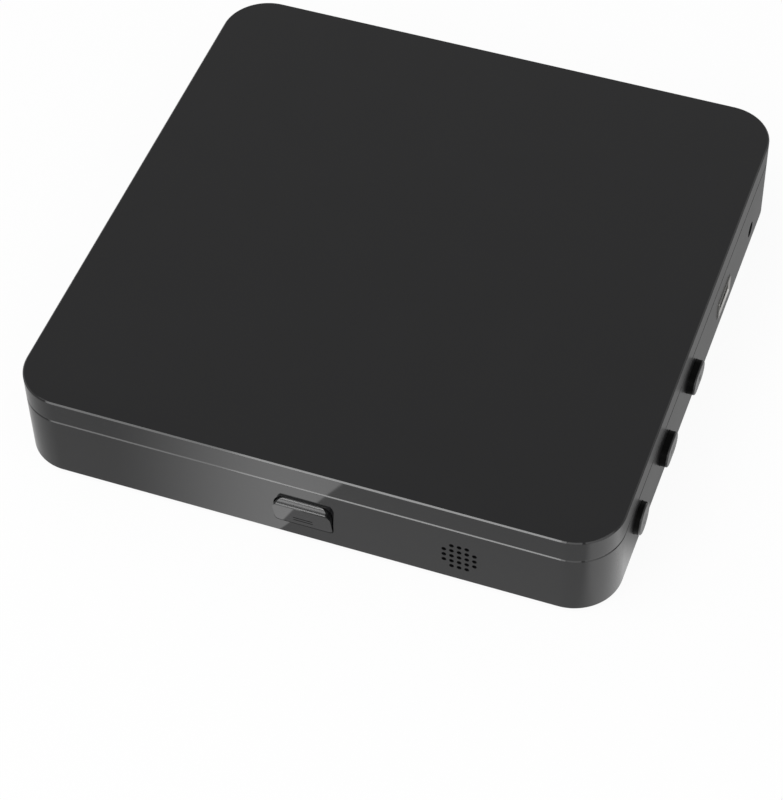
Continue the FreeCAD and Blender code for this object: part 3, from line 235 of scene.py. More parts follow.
class Finish(Nodes):
    """A material and the nodes in it."""

    def __init__(self, name, colour=(0.5, 0.5, 0.5), roughness=0.5, **sockets):
        self.material = bpy.data.materials.new(name)
        self.material.use_nodes = True
        super().__init__(self.material.node_tree)
        self.shader = self.tree.nodes.new("ShaderNodeBsdfPrincipled")
        self.output = self.tree.nodes.new("ShaderNodeOutputMaterial")
        self.tree.links.new(self.shader.outputs[0], self.output.inputs[0])
        self.material.diffuse_color = (*colour[:3], 1)
        self.set(**{"Base Color": (*colour[:3], 1), "Roughness": roughness}, **sockets)

    def set(self, **sockets):
        for name, value in sockets.items():
            self.feed(self.shader.inputs[name.replace("_", " ")], value)

    def axes(self, centre=(0, 0, 0)):
        """The three Object coordinates, measured from a point."""
        return self.parts(self.node("ShaderNodeVectorMath", {"operation": "SUBTRACT"},
                                    {0: self.point(), 1: tuple(centre)}))

    def noise(self, size, detail=2.0, stretch=(1, 1, 1)):
        """Smooth noise whose lumps are about this many metres across."""
        place = self.node("ShaderNodeVectorMath", {"operation": "MULTIPLY"},
                          {0: self.point(), 1: tuple(s / size for s in stretch)})
        return self.node("ShaderNodeTexNoise", {}, {"Vector": place, "Scale": 1.0, "Detail": detail})

    def mix(self, factor, first, second):
        """A colour between two others."""
        made = self.tree.nodes.new("ShaderNodeMix")
        made.data_type = "RGBA"
        self.feed(made.inputs[0], factor)
        for socket, colour in ((made.inputs[6], first), (made.inputs[7], second)):
            self.feed(socket, colour if isinstance(colour, Socket) else (*colour[:3], 1))
        return Socket(self, made.outputs[2])

    def bump(self, height, distance, strength=1.0):
        normal = self.node("ShaderNodeBump", {}, {"Height": height, "Distance": distance,
                                                  "Strength": strength})
        self.set(Normal=normal)


def shade(colour, factor):
    return tuple(min(1.0, part * factor) for part in colour[:3])


def moulded(name, colour, roughness, grain=0.25 * mm, depth=0.004 * mm, **sockets):
    """Plastic with a fine moulded grain and faint clouds in its colour and gloss."""
    finish = Finish(name, colour, roughness, **sockets)
    clouds = finish.noise(18 * mm)
    finish.set(Base_Color=finish.mix(clouds, shade(colour, 0.9), shade(colour, 1.1)),
               Roughness=roughness * (0.9 + 0.2 * clouds))
    finish.bump(finish.noise(grain, 3.0), depth)
    return finish


def metal(name, colour, roughness, stretch=(1, 1, 1), grain=0.3 * mm, depth=0.002 * mm, spread=0.35):
    """Bare metal whose polish or brushing runs along its stretched axis."""
    finish = Finish(name, colour, roughness, Metallic=1.0)
    lines = finish.noise(grain, 4.0, stretch)
    clouds = finish.noise(9 * mm)
    finish.set(Base_Color=finish.mix(clouds, shade(colour, 0.88), colour),
               Roughness=roughness * (1 - spread / 2 + spread * lines))
    finish.bump(lines, depth)
    return finish


def rubbery(name, colour, roughness=0.8):
    """Dull rubber with a powdery surface."""
    finish = Finish(name, colour, roughness, Specular_IOR_Level=0.3)
    powder = finish.noise(0.4 * mm, 4.0)
    finish.set(Base_Color=finish.mix(powder, shade(colour, 0.8), shade(colour, 1.3)))
    finish.bump(powder, 0.01 * mm)
    return finish


lid_colour = (0.0055, 0.0055, 0.006)
case_colour = (0.0075, 0.0075, 0.008)
button_colour = (0.009, 0.009, 0.0095)
# Painted shade: the colour of the caps' sides, darker than their faces
button_side_shade = (0.0012, 0.0012, 0.0012)
polished_roughness = 0.05
inner_colour = (0.018, 0.018, 0.0185)
print_colour = (0.0015, 0.0015, 0.0015)
plastic_colour = (0.012, 0.012, 0.0125)
plate_colour = (0.72, 0.71, 0.69)
contact_gold = (0.85, 0.62, 0.28)
icon_reach = 1.9 * mm
icon_line = 0.28 * mm
face_depth = 0.5 * mm
face_blend = 0.12 * mm
polish_end = 2 * mm
satin_start = 15 * mm


def glossy(name, colour, satin, polish_top=0.0):
    """Black plastic, polished at the front and satin elsewhere, with faint clouds."""
    finish = Finish(name, colour, satin, IOR=1.5)
    clouds = finish.noise(26 * mm)
    x, y, z = finish.axes()
    polished = 1 - y.between(front + polish_end, front + satin_start)
    if polish_top:
        on_top = z.between(lid_high.z - 0.3 * mm, lid_high.z - 0.1 * mm)
        polished = polished.larger(on_top * polish_top)
    finish.set(Base_Color=finish.mix(clouds, shade(colour, 0.9), shade(colour, 1.1)),
               Roughness=satin + 0.04 * clouds - (satin - polished_roughness) * polished)
    finish.bump(finish.noise(3.2 * mm, 1.0), 0.0004 * mm)
    return finish


def inside_box(y, z, half_y, half_z):
    return (abs(y) < half_y) * (abs(z) < half_z)


def power_mark(y, z):
    """A ring that is open at the top, with a bar in the gap."""
    reach = (y * y + z * z).root()
    ring = abs(reach - 0.75 * icon_reach) < icon_line / 2
    gap = (z > 0) * (abs(y) < 0.5 * icon_reach)
    bar = inside_box(y, z - 0.7 * icon_reach, icon_line / 2, 0.45 * icon_reach)
    return (ring * (1 - gap)).larger(bar)


def play_mark(y, z):
    """A triangle with two bars beside it."""
    wide = 0.8 * icon_reach
    triangle = (y + wide > 0) * (abs(z) < (0 - y) * 0.8) * (y < 0)
    bars = abs(abs(y - 0.55 * icon_reach) - 0.2 * icon_reach) < icon_line / 2
    return triangle.larger(bars * (abs(z) < 0.6 * icon_reach))


def stop_mark(y, z):
    return inside_box(y, z, 0.55 * icon_reach, 0.55 * icon_reach)


def tab_finish():
    """Polished plastic, with a second gloss on the hollow above the grip."""
    finish = Finish("tab_plastic", case_colour, polished_roughness, Specular_IOR_Level=0.17,
                    Coat_Roughness=5 * polished_roughness)
    x, y, z = finish.axes()
    clouds = finish.noise(5 * mm)
    finish.set(Base_Color=finish.mix(clouds, shade(case_colour, 0.9), shade(case_colour, 1.1)),
               Coat_Weight=z.between(tab_lip_z - 0.45 * mm, tab_lip_z - 0.3 * mm),
               Roughness=polished_roughness + 0.04 * clouds)
    finish.bump(finish.noise(3.2 * mm, 1.0), 0.0004 * mm)
    return finish


def button_finish(name, node, mark):
    """A dark cap whose outer face is polished and carries a printed mark, and whose sides are painted darker as
    painted shade.
    """
    finish = Finish(name, button_colour, 0.45, Specular_IOR_Level=0.12, Coat_Roughness=0.22)
    low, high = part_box(node)
    centre = ((low.x + high.x) / 2, (low.y + high.y) / 2, (low.z + high.z) / 2)
    x, y, z = finish.axes(centre)
    face_x = (high.x - low.x) / 2
    on_face = x.between(face_x - face_depth - face_blend, face_x - face_depth)
    ink = mark(y, z) * (on_face > 0.9)
    clouds = finish.noise(5 * mm)
    plain = finish.mix(clouds, shade(button_colour, 0.85), shade(button_colour, 1.15))
    # The sides take a darker colour than the face: painted shade, not a second plastic
    finish.set(Base_Color=finish.mix(ink, finish.mix(on_face, button_side_shade, plain), print_colour),
               Roughness=0.42 + 0.06 * clouds, Coat_Weight=on_face * (1 - 0.75 * ink))
    finish.bump(finish.noise(0.2 * mm, 3.0), 0.001 * mm)
    return finish


def two_part_finish(name, bare, centre):
    """Plated metal where the test says so, and dark moulded plastic everywhere else."""
    finish = Finish(name, plastic_colour, 0.4)
    metallic = bare(*finish.axes(centre))
    clouds = finish.noise(4 * mm)
    plastic = finish.mix(clouds, shade(plastic_colour, 0.85), shade(plastic_colour, 1.15))
    plated = finish.mix(clouds, shade(plate_colour, 0.9), plate_colour)
    finish.set(Base_Color=finish.mix(metallic, plastic, plated),
               Metallic=metallic, Roughness=0.4 - 0.2 * metallic + 0.05 * clouds)
    finish.bump(finish.noise(0.25 * mm, 3.0), 0.002 * mm)
    return finish


def round_reach(x, z):
    return (x * x + z * z).root()


def window_finish():
    """The dark plate that only infrared light passes."""
    finish = Finish("window_plastic", (0.002, 0.0012, 0.0015), 0.12)
    finish.set(Roughness=0.1 + 0.08 * finish.noise(4 * mm))
    return finish


def board_finish():
    """Green solder mask with traces under it."""
    finish = Finish("board_mask", (0.02, 0.11, 0.05), 0.35)
    lanes = finish.node("ShaderNodeTexBrick", {"offset": 0.37, "squash": 0.6},
                        {"Vector": finish.point(), "Scale": 260.0, "Mortar Size": 0.018,
                         "Color1": (0, 0, 0, 1), "Color2": (0, 0, 0, 1), "Mortar": (1, 1, 1, 1)})
    finish.set(Base_Color=finish.mix(lanes, (0.012, 0.085, 0.035), (0.04, 0.19, 0.09)))
    finish.bump(lanes, 0.01 * mm)
    return finish


def glass_finish(name, colour, tint):
    """Coated glass: clear, with a coloured sheen."""
    finish = Finish(name, colour, 0.03, Transmission_Weight=0.7, IOR=1.6, Coat_Weight=1.0)
    finish.set(Base_Color=finish.mix(finish.noise(1.5 * mm), colour, tint))
    return finish


finishes = {
    "gloss_black": glossy("lid_plastic", lid_colour, 0.28, 0.6),
    "case_black": glossy("case_plastic", case_colour, 0.28),
    "tab_black": tab_finish(),
    "button_grey": moulded("button_plastic", button_colour, 0.3),
    "inner_black": moulded("inner_plastic", inner_colour, 0.48, 0.3 * mm, 0.012 * mm),
    "white_plastic": moulded("acetal", (0.62, 0.62, 0.59), 0.4),
    "window_black": window_finish(),
    "rubber": rubbery("black_rubber", (0.014, 0.014, 0.014)),
    "grey_rubber": rubbery("grey_rubber", (0.16, 0.16, 0.17), 0.7),
    "steel": metal("plated_steel", (0.62, 0.62, 0.63), 0.35, (1, 0.08, 1)),
    "bright_steel": metal("ground_steel", (0.75, 0.75, 0.76), 0.18),
    "spring_steel": metal("spring_steel", (0.5, 0.5, 0.52), 0.3),
    "screw_black": metal("black_screw", (0.09, 0.09, 0.09), 0.4),
    "board_green": board_finish(),
    "chip_black": moulded("moulded_epoxy", (0.02, 0.02, 0.021), 0.55, 0.15 * mm, 0.006 * mm),
    "can_metal": metal("can_aluminium", (0.6, 0.6, 0.62), 0.3, (1, 1, 0.05)),
    "sink_aluminium": metal("sink_aluminium", (0.58, 0.58, 0.6), 0.45, (1, 0.05, 1)),
    "socket_steel": metal("nickel_plate", (0.72, 0.71, 0.69), 0.2),
    "jack_black": moulded("socket_plastic", (0.012, 0.012, 0.0125), 0.4),
    "copper": metal("copper_winding", (0.72, 0.36, 0.2), 0.35, (1, 1, 12)),
    "magnet": metal("magnet_nickel", (0.66, 0.66, 0.67), 0.25),
    "lens_glass": glass_finish("lens_glass", (0.35, 0.45, 0.75), (0.2, 0.3, 0.7)),
    "cable_white": moulded("flat_cable", (0.6, 0.63, 0.66), 0.45),
    "lamp": glass_finish("lamp_resin", (0.7, 0.85, 0.95), (0.6, 0.8, 0.95)),
}


def dress(piece, finish):
    piece.data.materials.clear()
    piece.data.materials.append(finish.material)


for part in frame["record"]["subparts"]:
    dress(frame["nodes"][part["node"]], finishes[part["material_slot"]])


# Modelling by hand

def deselect():
    bpy.ops.object.select_all(action="DESELECT")


def activate(piece):
    deselect()
    piece.select_set(True)
    bpy.context.view_layer.objects.active = piece


def named(name):
    """The object that an operator has just made, with its place in its mesh."""
    piece = bpy.context.object
    piece.name = name
    piece.data.name = name
    bpy.ops.object.transform_apply(location=True, rotation=True, scale=True)
    return piece


def cube(name, low, high):
    deselect()
    low, high = Vector(low), Vector(high)
    bpy.ops.mesh.primitive_cube_add(size=1, location=(low + high) / 2, scale=high - low)
    return named(name)


turns = {"X": (0, math.pi / 2, 0), "Y": (-math.pi / 2, 0, 0), "Z": (0, 0, 0)}


def drum(name, radius, centre, length, axis="Z", vertices=48, end_radius=None):
    """A cylinder, or a cone where its far end has another radius."""
    deselect()
    end = radius if end_radius is None else end_radius
    bpy.ops.mesh.primitive_cone_add(vertices=vertices, radius1=radius, radius2=end, depth=length,
                                    location=centre, rotation=turns[axis])
    return named(name)


def edit(piece):
    activate(piece)
    bpy.ops.object.mode_set(mode="EDIT")


def done():
    bpy.ops.object.mode_set(mode="OBJECT")


def pick(piece, kind, test):
    """In edit mode, selects just the faces or edges that pass the test."""
    bpy.ops.mesh.select_all(action="DESELECT")
    bpy.ops.mesh.select_mode(type="FACE" if kind == "faces" else "EDGE")
    mesh = bmesh.from_edit_mesh(piece.data)
    for item in getattr(mesh, kind):
        item.select_set(bool(test(item)))
    mesh.select_flush_mode()
    bmesh.update_edit_mesh(piece.data)


def along(axis):
    """Passes edges that run along an axis."""
    index = "XYZ".index(axis)
    return lambda edge: abs((edge.verts[1].co - edge.verts[0].co).normalized()[index]) > nearly_parallel


def at(axis, level):
    """Passes edges that lie in the plane where the axis has this value."""
    index = "XYZ".index(axis)
    return lambda edge: all(abs(vert.co[index] - level) < same_place for vert in edge.verts)


def facing(axis, sign):
    index = "XYZ".index(axis)
    return lambda face: face.normal[index] * sign > nearly_parallel


def round_off(piece, test, radius, segments=4):
    """Rounds the edges that pass the test, in edit mode."""
    pick(piece, "edges", test)
    bpy.ops.mesh.bevel(offset=radius, segments=segments, affect="EDGES", profile=0.5)


def rounded_box(name, low, high, radius, axis="Z", segments=corner_segments):
    """A box whose edges along one axis are rounded. It stays in edit mode."""
    piece = cube(name, low, high)
    edit(piece)
    round_off(piece, along(axis), radius, segments)
    return piece


def hollow(piece, axis, sign, thickness, depth):
    """Sinks the face that looks that way, leaving a wall round it, in edit mode."""
    pick(piece, "faces", facing(axis, sign))
    bpy.ops.mesh.inset(thickness=thickness)
    move = [0, 0, 0]
    move["XYZ".index(axis)] = -sign * depth
    bpy.ops.mesh.extrude_region_move(TRANSFORM_OT_translate={"value": move})


def combine(piece, others, operation):
    """Joins or cuts the piece with other closed shapes, which are used up."""
    activate(others[0])
    for other in others[1:]:
        other.select_set(True)
    if len(others) > 1:
        bpy.ops.object.join()
    tool = bpy.context.object
    activate(piece)
    modifier = piece.modifiers.new("shape", "BOOLEAN")
    modifier.operation = operation
    modifier.solver = "EXACT"
    modifier.use_self = True
    modifier.object = tool
    bpy.ops.object.modifier_apply(modifier=modifier.name)
    bpy.data.objects.remove(tool)


def settle(piece, body, slot, *nodes, finish=None, smooth_angle=30):
    """The piece gets its finish, rides on its body and stands for its nodes."""
    activate(piece)
    bpy.ops.object.shade_smooth_by_angle(angle=math.radians(smooth_angle))
    dress(piece, finish or finishes[slot])
    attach(piece, body)
    if nodes:
        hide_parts(*nodes)
    return piece


def tidy_normals(piece):
    """Merges doubles and turns every face outwards."""
    edit(piece)
    bpy.ops.mesh.select_all(action="SELECT")
    bpy.ops.mesh.remove_doubles(threshold=merge_distance)
    bpy.ops.mesh.normals_make_consistent(inside=False)
    done()


def place(piece, turn, move):
    """Turns a finished mesh and moves it to where it belongs."""
    piece.data.transform(Matrix.Translation(move) @ turn)
    return piece


standing = Matrix.Identity(4)
hanging = Matrix.Rotation(math.pi, 4, "X")
lying_y = Matrix.Rotation(-math.pi / 2, 4, "X")


def turned(name, rings, vertices=32):
    """A round piece drawn up ring by ring from its base: (radius, height) pairs."""
    radius, height = rings[0]
    deselect()
    bpy.ops.mesh.primitive_circle_add(vertices=vertices, radius=radius, fill_type="NGON",
                                      location=(0, 0, height))
    piece = named(name)
    edit(piece)
    bpy.ops.mesh.select_all(action="SELECT")
    for next_radius, next_height in rings[1:]:
        bpy.ops.mesh.extrude_region_move(TRANSFORM_OT_translate={"value": (0, 0, next_height - height)})
        scale = next_radius / radius
        bpy.ops.transform.resize(value=(scale, scale, 1), center_override=(0, 0, next_height))
        radius, height = next_radius, next_height
    done()
    tidy_normals(piece)
    return piece


def copy_of(piece, name):
    """Another piece with its own mesh."""
    twin = bpy.data.objects.new(name, piece.data.copy())
    bpy.context.scene.collection.objects.link(twin)
    return twin


def joined(name, pieces):
    activate(pieces[0])
    for piece in pieces[1:]:
        piece.select_set(True)
    if len(pieces) > 1:
        bpy.ops.object.join()
    whole = bpy.context.object
    whole.name = name
    whole.data.name = name
    return whole


def coil(name, radius, wire, pitch, rounds, steps=28):
    """A wire wound to the right round Z, with closed ends."""
    deselect()
    bpy.ops.mesh.primitive_circle_add(vertices=10, radius=wire, location=(radius, 0, 0),
                                      rotation=(math.pi / 2, 0, 0))
    piece = named(name)
    winding = piece.modifiers.new("winding", "SCREW")
    winding.axis = "Z"
    winding.angle = 2 * math.pi
    winding.screw_offset = pitch
    winding.iterations = rounds
    winding.steps = steps
    winding.render_steps = steps
    bpy.ops.object.modifier_apply(modifier=winding.name)
    edit(piece)
    bpy.ops.mesh.select_all(action="DESELECT")
    bpy.ops.mesh.select_mode(type="EDGE")
    bpy.ops.mesh.select_non_manifold()
    bpy.ops.mesh.fill_holes(sides=0)
    done()
    tidy_normals(piece)
    return piece


def solids(node):
    """The points of each separate solid in a node."""
    mesh = bmesh.new()
    mesh.from_mesh(frame["nodes"][node].data)
    bmesh.ops.remove_doubles(mesh, verts=mesh.verts, dist=merge_distance)
    found = []
    seen = set()
    for start in mesh.verts:
        if start in seen:
            continue
        island = []
        ahead = [start]
        seen.add(start)
        while ahead:
            vert = ahead.pop()
            island.append(vert.co.copy())
            for edge in vert.link_edges:
                other = edge.other_vert(vert)
                if other not in seen:
                    seen.add(other)
                    ahead.append(other)
        found.append(island)
    mesh.free()
    return found


def box_of(points):
    return (Vector(min(point[axis] for point in points) for axis in range(3)),
            Vector(max(point[axis] for point in points) for axis in range(3)))


def middle_of(node):
    low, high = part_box(node)
    return (low + high) / 2


def boxes(node):
    """Each solid's lowest corner, highest corner and middle."""
    found = [box_of(points) for points in solids(node)]
    return [(low, high, (low + high) / 2) for low, high in found]


def soften(piece, *levels):
    """Takes the sharpness off the edges that lie at these heights, in edit mode."""
    for level in levels:
        round_off(piece, at("Z", level), edge_softness, 2)


def lid_cover():
    """The lid's shell: a tray turned over, with a narrow chamfer round its top."""
    shell = rounded_box("lid_cover", lid_low, lid_high, corner_radius)
    round_off(shell, at("Z", lid_high.z), lid_chamfer, 1)
    soften(shell, lid_high.z, lid_high.z - lid_chamfer)
    round_off(shell, at("Z", lid_low.z), lid_lip_rounding, 3)
    hollow(shell, "Z", -1, wall - lid_lip_rounding, lid_high.z - lid_low.z - wall)
    done()
    under = lid_high.z - wall
    liner_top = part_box("lid_liner")[1].z
    posts = [drum("post", lid_post_radius, (spot.x, spot.y, (liner_top + under + weld) / 2),
                  under + weld - liner_top, vertices=32)
             for low, high, spot in boxes("lid_screws") if high.z > liner_top + weld]
    combine(shell, posts, "UNION")
    return settle(shell, "lid", "gloss_black", "lid_shell", smooth_angle=flat_wall_angle)


def front_holes():
    """A five by five block of holes without its corners."""
    block = middle_of("receiver_window")
    last = grille_rows - 1
    holes = []
    for column in range(grille_rows):
        for row in range(grille_rows):
            if column in (0, last) and row in (0, last):
                continue
            x = block.x + (column - last / 2) * grille_pitch_x
            z = block.z + (row - last / 2) * grille_pitch_z
            holes.append(drum("hole", grille_radius, (x, front + wall / 2, z), 2 * wall, "Y", 24))
    return holes


def tab_opening():
    low = (middle.x - tab_half - tab_slack, front - wall, tab_low_z - tab_slack)
    high = (middle.x + tab_half + tab_slack, front + 2 * wall, tab_high_z + tab_slack)
    piece = cube("opening", low, high)
    edit(piece)
    round_off(piece, lambda edge: along("Y")(edge) and edge.verts[0].co.z > tab_high_z, tab_corner, 12)
    round_off(piece, lambda edge: along("Y")(edge) and edge.verts[0].co.z < tab_low_z, tab_low_corner, 6)
    done()
    return piece


def pill(name, centre, length, height, thick):
    """A round-ended bar that is long along Y and faces along X."""
    half = Vector((thick / 2, length / 2, height / 2))
    piece = rounded_box(name, Vector(centre) - half, Vector(centre) + half, pill_rounding * height,
                        "X", corner_segments // 2)
    done()
    return piece


def side_openings():
    power = middle_of("power_button")
    shapes = [drum("hole", power_radius + button_slack, (right, power.y, power.z), 3 * wall, "X")]
    for node in ("play_button", "stop_button"):
        centre = middle_of(node)
        shapes.append(pill("hole", (right, centre.y, centre.z), pill_length + 2 * button_slack,
                           pill_height + 2 * button_slack, 3 * wall))
    low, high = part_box("usb_socket")
    tall = usb_flange_half + socket_slack
    shapes.append(cube("hole", (right - 2 * wall, low.y - socket_slack, usb_z - tall),
                       (right + wall, high.y + socket_slack, usb_z + tall)))
    jack = middle_of("headphone_jack")
    shapes.append(drum("hole", jack_opening_radius, (right, jack.y, jack_z), 3 * wall, "X"))
    return shapes


def rear_openings():
    low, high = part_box("hdmi_socket")
    hdmi_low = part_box("main_board")[1].z + weld
    shapes = [cube("hole", (low.x - socket_slack, rear - 2 * wall, hdmi_low - socket_slack),
                   (high.x + socket_slack, rear + wall, high.z + socket_slack))]
    coax = middle_of("coaxial_jack")
    shapes.append(drum("hole", coax_opening_radius, (coax.x, rear, coax_z), 3 * wall, "Y"))
    inlet = middle_of("power_inlet")
    shapes.append(drum("hole", inlet_opening_radius, (inlet.x, rear, inlet_z), 3 * wall, "Y"))
    return shapes


def sweep_radius(offset):
    """How far the lid's rear edge reaches from the hinge, this far into a corner's round."""
    depth = rear - corner_radius + math.sqrt(corner_radius ** 2 - offset ** 2) - hinge_point.y
    return math.hypot(depth, hinge_point.z - lid_low.z) + sweep_clearance


def hinge_sweep():
    """The space that the turning lid's rear edge takes, and the opened lid itself."""
    half = right - middle.x - corner_radius
    inset = rear - hinge_point.y
    reach = math.sqrt(corner_radius ** 2 - (corner_radius - inset) ** 2)
    shapes = [drum("sweep", sweep_radius(0), (middle.x, hinge_point.y, hinge_point.z), 2 * half,
                   "X", sweep_facets)]
    for side in (-1, 1):
        for step in range(sweep_steps):
            near = reach * step / sweep_steps
            far = reach * (step + 1) / sweep_steps
            ends = (sweep_radius(near), sweep_radius(far))
            start, end = ends if side > 0 else reversed(ends)
            x = middle.x + side * (half + (near + far) / 2)
            shapes.append(drum("sweep", start, (x, hinge_point.y, hinge_point.z),
                               far - near + 0.1 * weld, "X", sweep_facets, end))
    grown = Vector((sweep_clearance,) * 3)
    body = rounded_box("open_lid", lid_low - grown, lid_high + grown, corner_radius + sweep_clearance)
    done()
    body.data.transform(Matrix.Translation(hinge_point) @ Matrix.Rotation(-lid_opening, 4, "X")
                        @ Matrix.Translation(-hinge_point))
    shapes.append(body)
    limit = cube("limit", (left - wall, hinge_point.y - mm, base_bottom),
                 (right + wall, rear + wall, 2 * lid_high.z))
    combine(limit, shapes, "INTERSECT")
    return limit


def vents():
    """Two rows of cooling slots in the floor, under the chip."""
    chip = middle_of("system_chip")
    shapes = []
    for row in (-0.5, 0.5):
        y = chip.y + row * (vent_length + vent_gap)
        for index in range(vent_count):
            x = chip.x + (index - (vent_count - 1) / 2) * vent_pitch
            shapes.append(rounded_box("vent", (x - vent_width / 2, y - vent_length / 2, 0),
                                      (x + vent_width / 2, y + vent_length / 2, floor_top + mm),
                                      0.49 * vent_width, "Z", 6))
            done()
    return shapes


def screw_wells():
    """Where the case screws go in from below."""
    return [drum("well", screw_well_radius, (spot.x, spot.y, base_bottom),
                 2 * (low.z + screw_head_height - base_bottom), vertices=32)
            for low, high, spot in boxes("case_screws")]


def base_case():
    """The lower shell: an open tray with every hole that the case has."""
    shell = rounded_box("base_case", base_low, base_high, corner_radius)
    round_off(shell, at("Z", base_high.z), rim_chamfer, 1)
    round_off(shell, at("Z", base_low.z), bottom_chamfer, 1)
    soften(shell, base_high.z - rim_chamfer, base_low.z, base_low.z + bottom_chamfer)
    hollow(shell, "Z", 1, wall - rim_chamfer, base_high.z - floor_top)
    done()
    top = base_bottom + post_height
    posts = [drum("post", post_radius, (spot.x, spot.y, (floor_top + top) / 2), top - floor_top + weld)
             for low, high, spot in boxes("case_screws")]
    combine(shell, posts, "UNION")
    combine(shell, front_holes() + [tab_opening()], "DIFFERENCE")
    combine(shell, side_openings(), "DIFFERENCE")
    combine(shell, rear_openings(), "DIFFERENCE")
    combine(shell, vents() + screw_wells(), "DIFFERENCE")
    combine(shell, [hinge_sweep()], "DIFFERENCE")
    return settle(shell, "base", "case_black", "base_shell", smooth_angle=flat_wall_angle)


def cross_screw(head_radius, head_height, shank_radius, length):
    """A pan-head screw with a cross in its head. The head's outer face looks up from Z = 0."""
    rounding = 0.35 * head_height
    rings = [(0.3 * shank_radius, -length), (0.8 * shank_radius, -length + shank_radius)]
    turns_up = max(3, int(length / (0.9 * shank_radius)))
    step = (length - head_height - shank_radius) / turns_up
    for turn in range(turns_up):
        foot = -length + shank_radius + turn * step
        rings += [(shank_radius, foot + 0.4 * step), (0.8 * shank_radius, foot + 0.95 * step)]
    rings += [(shank_radius, -head_height), (head_radius, -head_height),
              (head_radius, -rounding), (head_radius - 0.35 * rounding, -0.3 * rounding),
              (head_radius - 1.1 * rounding, 0)]
    piece = turned("screw", rings, 24)
    arm, slot_width, sink = 0.62 * head_radius, 0.2 * head_radius, 0.55 * head_height
    slots = [cube("slot", (-arm, -slot_width / 2, -sink), (arm, slot_width / 2, head_height)),
             cube("slot", (-slot_width / 2, -arm, -sink), (slot_width / 2, arm, head_height))]
    combine(piece, slots, "DIFFERENCE")
    return piece


def screws(node, name, body, slot):
    """Every screw of a node, each made once for its size and copied to its place."""
    made = {}
    placed = []
    for points in solids(node):
        low, high = box_of(points)
        centre = (low + high) / 2

        def reach(level):
            return max(math.hypot(point.x - centre.x, point.y - centre.y)
                       for point in points if abs(point.z - level) < 1e-5)

        levels = sorted({round(point.z, 6) for point in points})
        head_up = reach(high.z) > reach(low.z)
        head_height = levels[-1] - levels[-2] if head_up else levels[1] - levels[0]
        sizes = tuple(round(size, 6) for size in (max(reach(low.z), reach(high.z)), head_height,
                                                  min(reach(low.z), reach(high.z)), high.z - low.z))
        if sizes not in made:
            made[sizes] = cross_screw(*sizes)
        spin = Matrix.Rotation(0.7 * len(placed), 4, "Z")
        turn = (standing if head_up else hanging) @ spin
        placed.append(place(copy_of(made[sizes], "screw"), turn,
                            (centre.x, centre.y, high.z if head_up else low.z)))
    for pattern in made.values():
        bpy.data.objects.remove(pattern)
    return settle(joined(name, placed), body, slot, node)


def rubber_foot(node):
    """A soft foot with a dished face and a rounded rim."""
    low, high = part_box(node)
    radius = (high.x - low.x) / 2
    height = high.z - low.z
    rim, dish, depth, pip = 0.4 * mm, 1.6 * mm, 0.3 * mm, 1.4 * mm
    rings = [(radius, 0), (radius, height - rim), (radius - 0.3 * rim, height - 0.3 * rim),
             (radius - rim, height), (radius - dish, height), (radius - dish - depth, height - depth),
             (pip, height - depth), (pip - depth, height - 0.1 * mm)]
    foot = turned("rubber_" + node, rings, 48)
    spot = middle_of(node)
    place(foot, hanging, (spot.x, spot.y, high.z))
    return settle(foot, "base", "rubber", node)


def tab_springs():
    """The two coils that push the open tab forwards."""
    wire = spring_wire
    for index, (low, high, spot) in enumerate(boxes("latch_springs")):
        length = high.y - low.y
        spring = coil("tab_spring_%d" % (index + 1), (high.z - low.z) / 2 - wire, wire,
                      (length - 2 * wire) / spring_rounds, spring_rounds)
        place(spring, lying_y, (spot.x, low.y + wire, spot.z))
        settle(spring, "base", "spring_steel", "latch_springs")
        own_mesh(spring)


def drive_screw():
    """The sled's lead screw: a core with plain ends and one raised thread."""
    low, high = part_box("lead_screw")
    radius = (high.z - low.z) / 2
    length = high.y - low.y
    ridge = 0.2 * mm
    core = radius - 1.6 * ridge
    journal = 0.75 * mm
    plain = 2.2 * mm
    collar = 2.5 * mm
    run_out = 0.3 * mm
    tip = 0.15 * mm
    rings = [(radius - ridge, 0), (radius, ridge), (radius, collar), (core, collar + run_out),
             (core, length - collar - plain), (radius, length - collar - plain + run_out),
             (radius, length - plain), (journal, length - plain), (journal, length - tip),
             (journal - tip, length)]
    rod = turned("drive_screw_core", rings, 28)
    rounds = int((length - 2 * collar - plain) / thread_pitch)
    thread = coil("drive_screw_thread", radius - ridge, ridge, thread_pitch, rounds, 32)
    thread.data.transform(Matrix.Translation((0, 0, collar + 4 * ridge)))
    whole = joined("drive_screw", [rod, thread])
    spot = middle_of("lead_screw")
    place(whole, lying_y, (spot.x, low.y, spot.z))
    return settle(whole, "lead_screw_body", "bright_steel", "lead_screw")


def capacitor_cans():
    """Round cans with a rolled groove near the foot and a scored, slightly sunk top."""
    bead = 0.25 * mm
    sink = 0.6 * bead
    groove, groove_half = 1.5 * mm, 0.3 * mm
    line = 0.12 * mm
    cans = []
    for low, high, spot in boxes("capacitors"):
        radius = (high.x - low.x) / 2
        height = high.z - low.z
        level = height - sink
        rings = [(radius - bead, 0), (radius, bead), (radius, groove - groove_half),
                 (radius - bead, groove), (radius, groove + groove_half), (radius, height - bead),
                 (radius - bead, height), (radius - 2 * bead, height), (radius - 2 * bead - sink, level)]
        can = turned("can", rings, 32)
        arm = 0.7 * radius
        scores = [cube("score", (-arm, -line, level - line), (arm, line, height)),
                  cube("score", (-line, -arm, level - line), (line, arm, height))]
        combine(can, scores, "DIFFERENCE")
        cans.append(place(can, Matrix.Rotation(0.6 * len(cans), 4, "Z"), (spot.x, spot.y, low.z)))
    return settle(joined("capacitor_cans", cans), "base", "can_metal", "capacitors")


